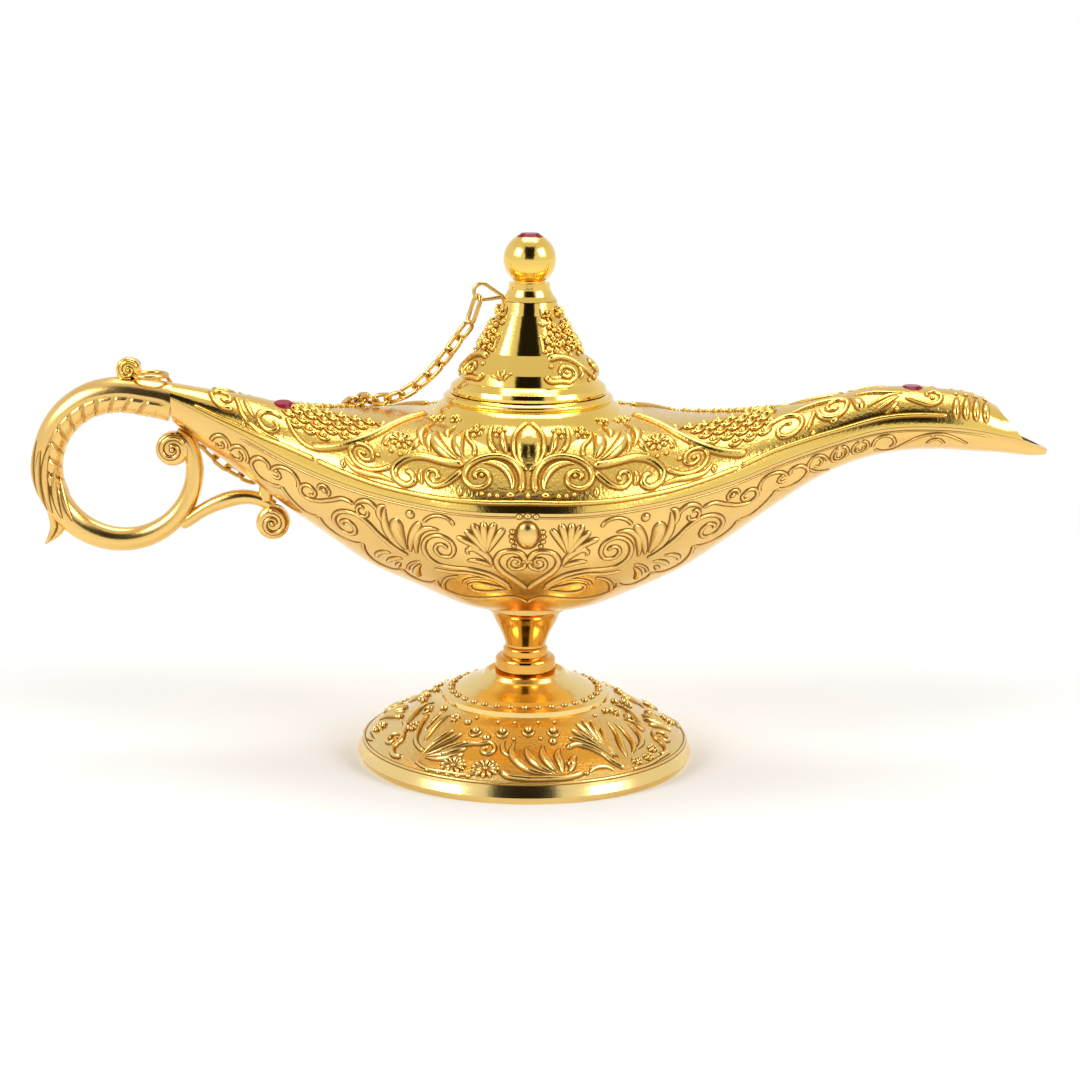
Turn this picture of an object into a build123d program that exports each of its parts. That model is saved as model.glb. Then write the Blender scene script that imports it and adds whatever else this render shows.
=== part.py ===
from build123d import *
import math
import os

# Genie oil lamp in gold-plated zinc casting. Millimetres, +Z up, origin on the
# foot's axis at the floor. The spout points along +X, the handle along -X.

# Driving dimensions of the body
spout_reach = 113.0  # foot axis to the tip of the spout's lip
arm_reach = 77.2  # foot axis to the vertical seam where the handle begins
body_half_width = 34.0
bowl_depth = 28.0  # rim of the bowl down to its underside, at the axis
cover_rise = 16.0  # rim of the bowl up to the shoulder of the cover
handle_end_lift = 18.3  # how far the rim climbs towards the handle
spout_end_lift = 14.6  # how far the rim climbs towards the spout
wall = 1.6  # casting wall of bowl and cover
seam_gap = 0.1  # solder line between bowl and cover

# Driving dimensions of the foot and the stem
foot_radius = 37.2
foot_height = 19.5
foot_wall = 1.8
dish_radius = 8.2
dish_depth = 0.7
collar_radius = 6.7
collar_band_height = 4.2
collar_ring_radius = 5.0
collar_ring_height = 2.1
stem_waist_radius = 4.5
stem_top_radius = 9.2
stem_height = 8.8
foot_boss_radius = 5.5
foot_boss_drop = 8.0

# Screw that draws foot, collar and stem up to the bowl
screw_radius = 2.0
screw_head_radius = 3.6
screw_head_height = 2.6
screw_grip = 4.5  # length held in the bowl's boss
thread_clearance = 0.05
screw_clearance = 0.2
washer_radius = 4.6
washer_thickness = 0.9
slot_width = 0.9
slot_depth = 1.1
bowl_boss_radius = 8.6
bowl_boss_height = 6.4

# Neck and lid
neck_radius = 17.0
neck_height = 4.0  # seat of the lid above the shoulder of the cover
neck_bore_radius = 15.2
shoulder_radius = 23.4
lid_height = 19.8  # seat to the fine seam under the finial
lid_top_radius = 6.0
lid_wall = 1.4
lid_bore_radius = 13.9
lid_web = 2.6  # top web of the cone that the screw passes through
lid_seat_gap = 0.1
skirt_radius = 14.9
skirt_depth = 5.2
skirt_wall = 1.5
skirt_spigot = 2.2  # part of the skirt that is pressed into the cone
press_clearance = 0.03

# Finial
swivel_gap = 0.12  # fine seam between cone and finial collar
finial_collar_height = 3.7
finial_collar_radius = 4.4
finial_neck_radius = 3.3
finial_neck_height = 0.8
ball_radius = 5.65
pin_radius = 1.5
pin_head_radius = 2.7
pin_head_height = 1.5
pin_grip = 5.0
running_clearance = 0.08
finial_washer_radius = 3.2
finial_washer_thickness = 0.6

# Round red stones
gem_radius = 2.85
gem_girdle = 0.5
gem_crown = 0.75
gem_table_share = 0.62
gem_pocket_clearance = 0.06
gem_pocket_floor = 0.04
handle_gem_tilt = 8.0  # degrees, towards the front

# Handle
loop_radius = 16.1  # of the centre line
loop_root_radius = 4.25  # tube radius where it meets the body
loop_tip_radius = 1.7  # tube radius at the scroll end
loop_centre_drop = 14.4  # below the tube axis at the body's end
loop_centre_out = 11.7  # beyond the body's end
scroll_radius = 3.7
scroll_width = 4.4
joint_gap = 0.05  # solder line at the handle's root
tail_thickness = 3.6
bracket_root_radius = 1.35
bracket_middle_radius = 1.75

# Chain
wire_radius = 0.3  # of a link
link_length = 4.4
link_width = 2.8
link_pitch = 2.95
end_link_length = 6.6
eye_wire_radius = 0.4
eye_loop_radius = 1.75
eye_reach = 10.2  # finial axis to the centre of the eye's round end
eye_rise = 1.1  # centre of the round end above the wire's exit
eye_ring_radius = 2.2  # of the wire round the finial's screw
eye_clearance = 0.08
end_link_hang = 235.0  # degrees round the eye's end where the long link hangs
end_link_slack = 0.05
ring_rest_gap = 0.4  # ring above the crest of the handle
ring_radius = 3.6
ring_wire_radius = 0.5
lug_radius = 2.7
lug_width = 3.0
lug_hole_radius = 0.8
lug_inset = 8.5  # body's end to the lug's axis, along the handle

# Dowel pins between cover and bowl
dowel_radius = 0.8
dowel_length = 4.0
dowel_boss_radius = 2.1
dowel_boss_height = 3.0
dowel_reach = 26.0
dowel_clearance = 0.03

# Main raised scrolls on the cover
scroll_line_radius = 0.9
medallion_line_radius = 0.5
line_sink = 0.2  # centre of a raised line below the cover's surface
rosette_radius = 2.6
rosette_height = 0.9

overrun = 2.0  # extra length of every cut
cover_overrun = 0.5  # of the cover's hollow below its seam

# Stations of the body. Each row: distance from the axis, half width, climb of
# the rim, rise of the cover above the rim, depth of the bowl below the rim.
handle_station_shares = [
    (1.00, 0.130, 1.000, 0.155, 0.215),
    (0.88, 0.185, 0.765, 0.330, 0.310),
    (0.78, 0.255, 0.580, 0.465, 0.389),
    (0.68, 0.355, 0.390, 0.570, 0.464),
    (0.57, 0.500, 0.240, 0.695, 0.568),
    (0.44, 0.665, 0.115, 0.840, 0.720),
    (0.30, 0.830, 0.040, 0.955, 0.835),
    (0.15, 0.960, 0.000, 0.995, 0.970),
]
spout_station_shares = [
    (0.00, 1.000, 0.000, 1.000, 1.000),
    (0.11, 0.960, 0.000, 1.000, 0.965),
    (0.21, 0.835, 0.050, 0.965, 0.840),
    (0.30, 0.695, 0.145, 0.815, 0.720),
    (0.39, 0.540, 0.300, 0.695, 0.560),
    (0.48, 0.410, 0.535, 0.560, 0.418),
    (0.57, 0.315, 0.750, 0.505, 0.293),
    (0.67, 0.255, 0.955, 0.480, 0.243),
    (0.78, 0.245, 1.000, 0.440, 0.214),
    (0.865, 0.215, 0.930, 0.410, 0.193),
    (0.905, 0.185, 0.860, 0.325, 0.164),
    (0.95, 0.138, 0.765, 0.270, 0.132),
    (0.975, 0.100, 0.690, 0.000, 0.100),
    (1.00, 0.040, 0.610, 0.000, 0.050),
]
cover_stations = -2  # the cover ends this many stations before the lip
lip_stations = -1  # the hollow ends this many stations before the lip
hollow_start = 2  # the hollow begins at this station from the handle's end
thin_wall_share = 0.45  # most of a small section that its wall may take
mouth_top_share = 0.90  # of the reach, where the slanted mouth leaves the ridge

# Section of the cover, from the rim to the ridge: a straight-sided shoulder at
# the axis turns into a round ridge on the arms.
shoulder_section_shares = [(1.0, 0.0), (0.955, 0.17), (0.83, 0.48), (0.64, 0.86), (0.35, 0.99), (0.0, 1.0)]
arm_section_shares = [(1.0, 0.0), (0.95, 0.31), (0.80, 0.60), (0.57, 0.82), (0.30, 0.955), (0.0, 1.0)]
arm_blend_share = 0.42  # of the reach, where the section has become an arm's

# Foot, from the rim of the floor to the dish
foot_outline_shares = [
    (0.984, 0.0),
    (1.000, 0.077),
    (0.980, 0.164),
    (0.973, 0.200),
    (0.922, 0.282),
    (0.839, 0.374),
    (0.726, 0.467),
    (0.594, 0.636),
    (0.503, 0.697),
    (0.500, 0.750),
    (0.470, 0.775),
    (0.427, 0.780),
    (0.403, 0.815),
    (0.340, 0.880),
    (0.263, 0.933),
    (0.255, 0.949),
    (0.239, 0.990),
    (0.226, 1.000),
]
foot_cavity_last = 12  # the cavity follows the outline up to this point
foot_rim_share = 0.935

# Lid cone above its flange
lid_outline_shares = [(0.885, 0.150), (0.847, 0.268), (0.662, 0.465), (0.391, 0.864)]
flange_outline_shares = [(1.000, 0.0), (1.006, 0.030), (0.985, 0.075), (0.940, 0.108), (0.894, 0.140)]

# Neck of the cover, from the lid's seat down and out into the shoulder
neck_outline_shares = [(1.0, 0.0), (1.055, 0.10), (1.088, 0.30), (1.070, 0.40), (1.147, 0.62), (1.206, 0.93)]

# Raised scrolls on the handle's half of the cover, repeated on the spout's half
# and behind. Each point: distance from the axis as a share of the body's half
# width, then place across as a share of the half width there.
great_scroll_shares = [
    (-0.038, 0.935), (-0.026, 0.886), (-0.038, 0.835), (-0.082, 0.789), (-0.159, 0.765), (-0.241, 0.770),
    (-0.318, 0.797), (-0.371, 0.846), (-0.376, 0.898), (-0.335, 0.926), (-0.271, 0.924), (-0.229, 0.897)]
side_scroll_shares = [
    (-0.400, 0.818), (-0.459, 0.824), (-0.547, 0.817), (-0.635, 0.808), (-0.718, 0.823), (-0.782, 0.862),
    (-0.812, 0.915)]
rising_band_shares = [
    (-1.353, 0.895), (-1.265, 0.868), (-1.165, 0.817), (-1.065, 0.740), (-0.971, 0.640), (-0.900, 0.543)]
medallion_shares = [(-0.012, 0.822), (-0.049, 0.799), (-0.078, 0.747), (-0.090, 0.680), (-0.087, 0.620)]
rosette_shares = [(-0.771, 0.693), (-1.241, 0.586)]

# Leaf tail on the back of the loop, as shares of the loop's radius
tail_outline_shares = [(-1.195, 0.15), (-1.19, -0.35), (-1.13, -0.80), (-1.055, -1.105)]
tail_inner_shares = [(-0.91, -0.93), (-0.86, -0.80), (-0.97, -0.35), (-1.0, 0.15)]

# Scroll end of the loop and the bracket, in shares of the loop's radius about
# the loop's centre
scroll_path_shares = [(0.975, 0.19), (0.885, 0.37), (0.755, 0.455)]
scroll_centre_shares = (0.715, 0.270)
bracket_path_shares = [(0.80, -0.775), (1.01, -0.645), (1.22, -0.520), (1.45, -0.430), (1.68, -0.392),
                       (1.90, -0.430), (2.07, -0.520)]
bracket_centre_shares = (2.06, -0.735)

# Route of the chain from the eye on the finial over the cover's ridge, behind
# the body and up to the ring
chain_route = [
    (-12.9, 0.0, 96.4), (-15.3, 0.0, 93.2), (-18.3, 0.0, 89.0), (-21.6, 0.1, 85.2),
    (-25.2, 0.4, 82.2), (-29.2, 1.2, 80.0), (-33.6, 4.2, 79.0), (-37.6, 9.2, 78.2),
    (-41.2, 14.6, 75.4), (-44.6, 19.0, 70.6), (-47.8, 20.4, 65.2), (-51.2, 19.4, 60.9),
    (-55.6, 16.4, 58.9), (-60.2, 11.8, 59.4), (-64.6, 8.6, 61.6), (-68.6, 7.4, 64.8),
    (-71.6, 7.0, 68.0), (-74.2, 6.9, 71.6), (-76.6, 6.8, 75.6), (-78.6, 6.4, 79.6),
    (-80.4, 5.0, 83.2),
]
chain_nodes_shares = [("chain_upper", 0.0, 0.36), ("chain_back", 0.36, 0.72), ("chain_lower", 0.72, 1.0)]
roll_first = 48.0  # degrees; links alternate a quarter turn apart

# Heights that follow from the sizes above
dish_floor = foot_height - dish_depth
collar_base = dish_floor
collar_top = collar_base + collar_band_height + collar_ring_height
bowl_base = collar_top + stem_height
rim_height = bowl_base + bowl_depth
shoulder_height = rim_height + cover_rise
lid_seat = shoulder_height + neck_height
finial_seam = lid_seat + lid_seat_gap + lid_height
finial_base = finial_seam + swivel_gap
eye_wire_height = finial_base + eye_clearance + eye_wire_radius
ball_base = finial_base + finial_collar_height
ball_centre = ball_base + finial_neck_height + math.sqrt(ball_radius**2 - finial_neck_radius**2) - finial_neck_height / 2
gem_seat = ball_centre + math.sqrt(ball_radius**2 - gem_radius**2) - gem_girdle


def stations():
    """Body stations from the handle's end to the lip: x, half width, rim, rise, depth."""
    rows = []
    for along, width, climb, rise, depth in handle_station_shares:
        rows.append((-along * arm_reach, width, climb * handle_end_lift, rise, depth))
    for along, width, climb, rise, depth in spout_station_shares:
        rows.append((along * spout_reach, width, climb * spout_end_lift, rise, depth))
    return [
        (x, width * body_half_width, rim_height + climb, rise * cover_rise, depth * bowl_depth)
        for x, width, climb, rise, depth in rows
    ]


def inner(size):
    """A half width or height less the wall, with a thinner wall in small sections."""
    return size - min(wall, size * thin_wall_share)


def station_plane(x, rim):
    return Plane(origin=(x, 0, rim), x_dir=(0, 1, 0), z_dir=(1, 0, 0))


def bowl_section(x, half_width, rim, depth, above):
    """Half ellipse below the rim, closed straight across or a little above it."""
    curve = EllipticalCenterArc((0, 0), half_width, depth, 180, arc_size=180)
    if above:
        top = Polyline((half_width, 0), (half_width, above), (-half_width, above), (-half_width, 0))
    else:
        top = Line((half_width, 0), (-half_width, 0))
    return station_plane(x, rim) * make_face([curve, top])


def cover_section(x, half_width, rim, rise, below):
    """Rounded ridge above the rim, closed straight across or a little below it."""
    reach = spout_reach if x > 0 else arm_reach
    blend = min(1.0, abs(x) / (arm_blend_share * reach))
    side = [
        (half_width * (sw + (aw - sw) * blend), rise * (sh + (ah - sh) * blend))
        for (sw, sh), (aw, ah) in zip(shoulder_section_shares, arm_section_shares)
    ]
    points = side + [(-across, up) for across, up in reversed(side[:-1])]
    curve = Spline(*points)
    if below:
        base = Polyline(points[-1], (-half_width, -below), (half_width, -below), points[0])
    else:
        base = Line(points[-1], points[0])
    return station_plane(x, rim) * make_face([curve, base])


def cylinder(radius, low, high, x=0.0, y=0.0):
    """Upright cylinder between two heights."""
    return Pos(x, y, (low + high) / 2) * Cylinder(radius, high - low)


def turned(points):
    """Solid of revolution about Z from an outline of radii and heights."""
    low, high = points[0][1], points[-1][1]
    outline = Polyline((0, low), *points, (0, high), close=True)
    return revolve(Plane.XZ * make_face(outline), Axis.Z)


def between_stations(x):
    """Half width, rim, rise and depth at a distance from the axis, in straight steps."""
    rows = stations()
    before = max((row for row in rows if row[0] <= x), key=lambda row: row[0])
    after = min((row for row in rows if row[0] > x), key=lambda row: row[0])
    share = (x - before[0]) / (after[0] - before[0])
    return [low + share * (high - low) for low, high in zip(before[1:], after[1:])]


def dowel_places():
    """Centres of the four dowel bosses: x, y, rim height."""
    places = []
    for x in (-dowel_reach, dowel_reach):
        half_width, rim, rise, depth = between_stations(x)
        for side in (-1, 1):
            places.append((x, side * (half_width - wall - dowel_boss_radius), rim))
    return places


def gem(base):
    """Round stone with a flat table, standing on its flat back."""
    top = gem_girdle + gem_crown
    outline = [(gem_radius, 0), (gem_radius, gem_girdle), (gem_radius * gem_table_share, top)]
    return base * turned(outline)


def gem_pocket(base):
    radius = gem_radius + gem_pocket_clearance
    return base * cylinder(radius, -gem_pocket_floor, gem_crown + gem_girdle + overrun)


def ridge_height(x):
    """Height of the cover's ridge at a distance from the axis, between stations."""
    half_width, rim, rise, depth = between_stations(x)
    return rim + rise


def handle_gem_base():
    x = -0.69 * arm_reach
    sink = gem_girdle + gem_pocket_floor
    return Pos(x, -gem_radius * 0.2, ridge_height(x) - sink) * Rot(handle_gem_tilt, 0, 0)


def spout_gem_base():
    x = 0.737 * spout_reach
    return Pos(x, 0, ridge_height(x) - gem_girdle - gem_pocket_floor)


def make_foot():
    outline = [(r * foot_radius, z * foot_height) for r, z in foot_outline_shares]
    body = turned(outline)
    cavity = [(foot_rim_share * foot_radius, -overrun), (foot_rim_share * foot_radius, foot_wall)]
    for radius, height in outline[5:foot_cavity_last]:
        cavity.append((radius - foot_wall * 0.9, height - foot_wall))
    cavity.append((foot_boss_radius * 1.8, cavity[-1][1] + foot_wall * 0.4))
    body -= turned(cavity)
    body += cylinder(foot_boss_radius, dish_floor - foot_boss_drop, dish_floor - foot_wall * 0.3)
    body -= cylinder(dish_radius, dish_floor, foot_height + overrun)
    body -= cylinder(screw_radius + screw_clearance, -overrun, foot_height + overrun)
    return body


def make_stem_collar():
    ring_base = collar_base + collar_band_height
    body = cylinder(collar_radius, collar_base, ring_base)
    body = fillet(body.edges().filter_by(GeomType.CIRCLE).sort_by(Axis.Z)[-1], collar_band_height * 0.3)
    body += cylinder(collar_ring_radius, ring_base - foot_wall * 0.2, collar_top)
    body = fillet(body.edges().filter_by(GeomType.CIRCLE).sort_by(Axis.Z)[-1], collar_ring_height * 0.45)
    return body - cylinder(screw_radius + screw_clearance, collar_base - overrun, collar_top + overrun)


def make_stem():
    flare = [
        (stem_waist_radius, collar_top),
        (stem_waist_radius, collar_top + stem_height * 0.06),
        (stem_waist_radius * 1.24, collar_top + stem_height * 0.38),
        (stem_waist_radius * 1.56, collar_top + stem_height * 0.70),
        (stem_top_radius * 0.88, collar_top + stem_height * 0.92),
        (stem_top_radius, bowl_base),
    ]
    side = Spline(*flare[1:])
    outline = Polyline((stem_top_radius, bowl_base), (0, bowl_base), (0, collar_top), flare[0], flare[1])
    body = revolve(Plane.XZ * make_face([side, outline]), Axis.Z)
    return body - cylinder(screw_radius + screw_clearance, collar_top - overrun, bowl_base + overrun)


def make_foot_screw():
    head_top = dish_floor - foot_boss_drop - washer_thickness
    head_base = head_top - screw_head_height
    body = cylinder(screw_head_radius, head_base, head_top)
    body += cylinder(screw_radius, head_top, bowl_base + screw_grip)
    slot = Pos(0, 0, head_base) * Box(screw_head_radius * 2 + overrun, slot_width, slot_depth * 2)
    return body - slot


def make_foot_washer():
    top = dish_floor - foot_boss_drop
    ring = cylinder(washer_radius, top - washer_thickness, top)
    return ring - cylinder(screw_radius + screw_clearance, top - overrun, top + overrun)


def make_bowl_outer():
    """Solid block of the lower body's outer shape, which the handle's joints are coped to."""
    return loft([bowl_section(x, width, rim, depth, 0) for x, width, rim, rise, depth in stations()])


def make_bowl(outer):
    rows = stations()
    hollow_rows = rows[hollow_start:lip_stations]
    hollow = loft([
        bowl_section(x, inner(width), rim, inner(depth), overrun)
        for x, width, rim, rise, depth in hollow_rows
    ])
    body = outer - hollow
    body += cylinder(bowl_boss_radius, bowl_base, bowl_base + bowl_boss_height)
    body -= cylinder(stem_top_radius * 1.3, bowl_base - overrun, bowl_base)
    body -= cylinder(screw_radius + thread_clearance, bowl_base - overrun, bowl_base + screw_grip + screw_clearance)
    for x, y, rim in dowel_places():
        boss = cylinder(dowel_boss_radius, rim - dowel_boss_height, rim - seam_gap, x, y)
        body += boss
        body -= cylinder(dowel_radius + dowel_clearance, rim - dowel_length / 2 - seam_gap, rim + overrun, x, y)
    return body


def mouth_cut(last):
    """Block that cuts the cover's end on a slant, from the ridge down to the rim."""
    top_x = mouth_top_share * spout_reach
    top_z = ridge_height(top_x)
    end_x, end_z = last[0], last[2] + seam_gap
    slant = Plane(origin=(top_x, 0, top_z), x_dir=(0, 1, 0), z_dir=(top_z - end_z, 0, end_x - top_x))
    depth = cover_rise
    return slant * Pos(0, 0, depth / 2) * Box(body_half_width, 2 * cover_rise, depth)


def cover_point(outer, along, across, half):
    """Point and outward normal on the cover's front, found straight above its place."""
    x = half * along * body_half_width
    y = -across * between_stations(x)[0]
    hits = outer.find_intersection_points(Axis((x, y, 0), (0, 0, 1)))
    return max(hits, key=lambda hit: hit[0].Z)


def raised_line(outer, points, radius, half):
    """Round ridge along points on the cover, sunk a little into it."""
    hits = [cover_point(outer, along, across, half) for along, across in points]
    centres = [point - normal * line_sink for point, normal in hits]
    sections = []
    for index, centre in enumerate(centres):
        run = centres[min(index + 1, len(centres) - 1)] - centres[max(index - 1, 0)]
        plane = Plane(origin=centre, x_dir=hits[index][1], z_dir=run)
        sections.append(plane * Circle(radius))
    return loft(sections)


def cover_relief(outer):
    """The cover's main scrolls, medallion frame and rosettes, before and behind."""
    lines = [
        (great_scroll_shares, scroll_line_radius), (side_scroll_shares, scroll_line_radius),
        (rising_band_shares, scroll_line_radius), (medallion_shares, medallion_line_radius)]
    relief = []
    for half in (1, -1):
        for points, radius in lines:
            relief.append(raised_line(outer, points, radius, half))
        for along, across in rosette_shares:
            point, normal = cover_point(outer, along, across, half)
            relief.append(Pos(point - normal * (rosette_radius - rosette_height)) * Sphere(rosette_radius))
    return relief + [piece.mirror(Plane.XZ) for piece in relief]


def make_cover():
    rows = stations()[:cover_stations]
    outer = loft([
        cover_section(x, width, rim + seam_gap, rise, 0) for x, width, rim, rise, depth in rows
    ])
    hollow = loft([
        cover_section(x, inner(width), rim + seam_gap, inner(rise), cover_overrun)
        for x, width, rim, rise, depth in rows[hollow_start:]
    ])
    neck = [(r * neck_radius, lid_seat - z * neck_height) for r, z in neck_outline_shares]
    neck.append((shoulder_radius, shoulder_height - wall))
    neck_outline = [(radius, height) for radius, height in reversed(neck)]
    body = outer + turned(neck_outline)
    body += cover_relief(outer)
    body -= hollow
    body -= cylinder(neck_bore_radius, rim_height, lid_seat + overrun)
    body -= mouth_cut(rows[-1])
    for x, y, rim in dowel_places():
        body += cylinder(dowel_boss_radius, rim + 2 * seam_gap, rim + dowel_boss_height, x, y)
        body -= cylinder(dowel_radius + dowel_clearance, rim - overrun, rim + dowel_length / 2 + seam_gap, x, y)
    body -= gem_pocket(handle_gem_base())
    body -= gem_pocket(spout_gem_base())
    return body


def make_seam_pins():
    return [
        cylinder(dowel_radius, rim - dowel_length / 2, rim + dowel_length / 2, x, y)
        for x, y, rim in dowel_places()
    ]


def loop_centre():
    x, half_width, rim, rise, depth = stations()[0]
    axis_height = rim + (rise - depth) / 2
    return x - loop_centre_out, axis_height - loop_centre_drop


def loop_path():
    """Centre line of the handle from the body's end round to the scroll, as x, z."""
    centre_x, centre_z = loop_centre()
    root_x = -arm_reach - joint_gap
    root_z = centre_z + loop_centre_drop
    path = [(root_x, root_z), (root_x - loop_centre_out * 0.45, root_z + loop_radius * 0.066)]
    for turn in range(12):
        angle = math.radians(90 + turn * 24.5)
        path.append((centre_x + loop_radius * math.cos(angle), centre_z + loop_radius * math.sin(angle)))
    path += [(centre_x + x * loop_radius, centre_z + z * loop_radius) for x, z in scroll_path_shares]
    return path


def tube(path, radii, upright_root=False):
    """Tapering round tube through circles set square to a path in the XZ plane."""
    sections = []
    for index, ((x, z), radius) in enumerate(zip(path, radii)):
        before = path[max(index - 1, 0)]
        after = path[min(index + 1, len(path) - 1)]
        along = (after[0] - before[0], 0, after[1] - before[1])
        if upright_root and index == 0:
            along = (-1, 0, 0)
        plane = Plane(origin=(x, 0, z), x_dir=(0, 1, 0), z_dir=along)
        sections.append(plane * Circle(radius))
    return loft(sections)


def lengths(path):
    """Distance along a path at each of its points."""
    total = [0.0]
    for one, two in zip(path, path[1:]):
        total.append(total[-1] + math.dist(one, two))
    return total


def scroll_disc(centre, radius, width):
    disc = Cylinder(radius, width)
    disc = fillet(disc.edges().filter_by(GeomType.CIRCLE), width * 0.3)
    return Pos(centre[0], 0, centre[1]) * Rot(90, 0, 0) * disc


def loop_radii(path):
    along = lengths(path)
    taper = loop_root_radius - loop_tip_radius
    return [loop_root_radius - taper * distance / along[-1] for distance in along]


def make_handle_loop(bowl_outer):
    path = loop_path()
    body = tube(path, loop_radii(path), upright_root=True)
    centre_x, centre_z = loop_centre()
    curl = (centre_x + scroll_centre_shares[0] * loop_radius, centre_z + scroll_centre_shares[1] * loop_radius)
    body += scroll_disc(curl, scroll_radius, scroll_width)
    outer = [(centre_x + x * loop_radius, centre_z + z * loop_radius) for x, z in tail_outline_shares]
    back = [(centre_x + x * loop_radius, centre_z + z * loop_radius) for x, z in tail_inner_shares]
    edges = [Spline(*outer), Line(outer[-1], back[0]), Spline(*back), Line(back[-1], outer[0])]
    leaf = make_face(edges)
    body += extrude(Plane.XZ * leaf, tail_thickness / 2, both=True)
    return body - bowl_outer


def make_handle_bracket(bowl_outer, loop):
    centre_x, centre_z = loop_centre()
    path = [(centre_x + x * loop_radius, centre_z + z * loop_radius) for x, z in bracket_path_shares]
    middle = len(path) // 2
    radii = []
    for index in range(len(path)):
        share = 1 - abs(index - middle) / middle
        radii.append(bracket_root_radius + (bracket_middle_radius - bracket_root_radius) * share)
    body = tube(path, radii)
    curl = (centre_x + bracket_centre_shares[0] * loop_radius, centre_z + bracket_centre_shares[1] * loop_radius)
    body += scroll_disc(curl, scroll_radius, scroll_width)
    pad_x, pad_z = path[-2]
    pad_height = bracket_middle_radius * 3
    body += cylinder(bracket_middle_radius * 0.9, pad_z, pad_z + pad_height, pad_x + bracket_middle_radius * 0.6)
    body -= bowl_outer
    return body - loop


def make_lid_cone():
    flange_base = lid_seat + lid_seat_gap
    top_share = lid_top_radius / neck_radius
    outline = [(r * neck_radius, flange_base + z * lid_height) for r, z in flange_outline_shares]
    outline += [(r * neck_radius, flange_base + z * lid_height) for r, z in lid_outline_shares]
    outline.append((top_share * neck_radius, flange_base + lid_height))
    body = turned(outline)
    cone_base = flange_base + lid_outline_shares[0][1] * lid_height
    cavity = [(lid_bore_radius, flange_base - overrun), (lid_bore_radius, cone_base)]
    cavity += [(r * neck_radius - lid_wall, flange_base + z * lid_height) for r, z in lid_outline_shares[1:3]]
    cavity.append((lid_top_radius - lid_wall * 0.5, flange_base + lid_height - lid_web))
    body -= turned(cavity)
    return body - cylinder(pin_radius + running_clearance, lid_seat, finial_base + overrun)


def make_lid_skirt():
    flange_base = lid_seat + lid_seat_gap
    body = cylinder(skirt_radius, lid_seat - skirt_depth, flange_base)
    body += cylinder(lid_bore_radius - press_clearance, flange_base - lid_wall, flange_base + skirt_spigot)
    bore = lid_bore_radius - press_clearance - skirt_wall
    body -= cylinder(bore, lid_seat - skirt_depth - overrun, lid_seat + skirt_spigot + overrun)
    lower_edge = body.edges().filter_by(GeomType.CIRCLE).sort_by(Axis.Z)[:2].sort_by(SortBy.RADIUS)[-1]
    return chamfer(lower_edge, skirt_wall * 0.3)


def make_finial_collar():
    outline = [
        (lid_top_radius, finial_base),
        (lid_top_radius * 0.86, finial_base + finial_collar_height * 0.28),
        (finial_collar_radius * 1.03, finial_base + finial_collar_height * 0.62),
        (finial_collar_radius, ball_base),
    ]
    body = turned(outline)
    recess = eye_ring_radius + eye_wire_radius + running_clearance
    room = eye_wire_radius * 2 + eye_clearance * 2
    body -= cylinder(recess, finial_base - overrun, finial_base + room)
    notch = Pos(-lid_top_radius / 2, 0, finial_base + room / 2 - overrun / 2)
    body -= notch * Box(lid_top_radius + overrun, room, room + overrun)
    return body - cylinder(pin_radius + thread_clearance, finial_base - overrun, ball_base + overrun)


def make_finial_ball():
    body = Pos(0, 0, ball_centre) * Sphere(ball_radius)
    body -= cylinder(ball_radius, ball_base - ball_radius, ball_base)
    body += cylinder(finial_neck_radius, ball_base, ball_centre)
    pocket = gem_radius + gem_pocket_clearance
    body -= cylinder(pocket, gem_seat - gem_pocket_floor, gem_seat + ball_radius)
    return body - cylinder(pin_radius + thread_clearance, ball_base - overrun, ball_base + pin_grip + screw_clearance)


def make_finial_gem():
    return gem(Pos(0, 0, gem_seat))


def make_finial_screw():
    web_base = finial_seam - lid_web
    head_top = web_base - running_clearance - finial_washer_thickness
    body = cylinder(pin_head_radius, head_top - pin_head_height, head_top)
    body += cylinder(pin_radius, head_top, ball_base + pin_grip)
    slot = Pos(0, 0, head_top - pin_head_height)
    return body - slot * Box(pin_head_radius * 2 + overrun, slot_width, slot_depth)


def make_finial_washer():
    top = finial_seam - lid_web - running_clearance
    ring = cylinder(finial_washer_radius, top - finial_washer_thickness, top)
    return ring - cylinder(pin_radius + thread_clearance, top - overrun, top + overrun)


def eye_centre():
    """Centre of the eye's round end, in the XZ plane."""
    return -eye_reach, eye_wire_height + eye_rise


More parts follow.
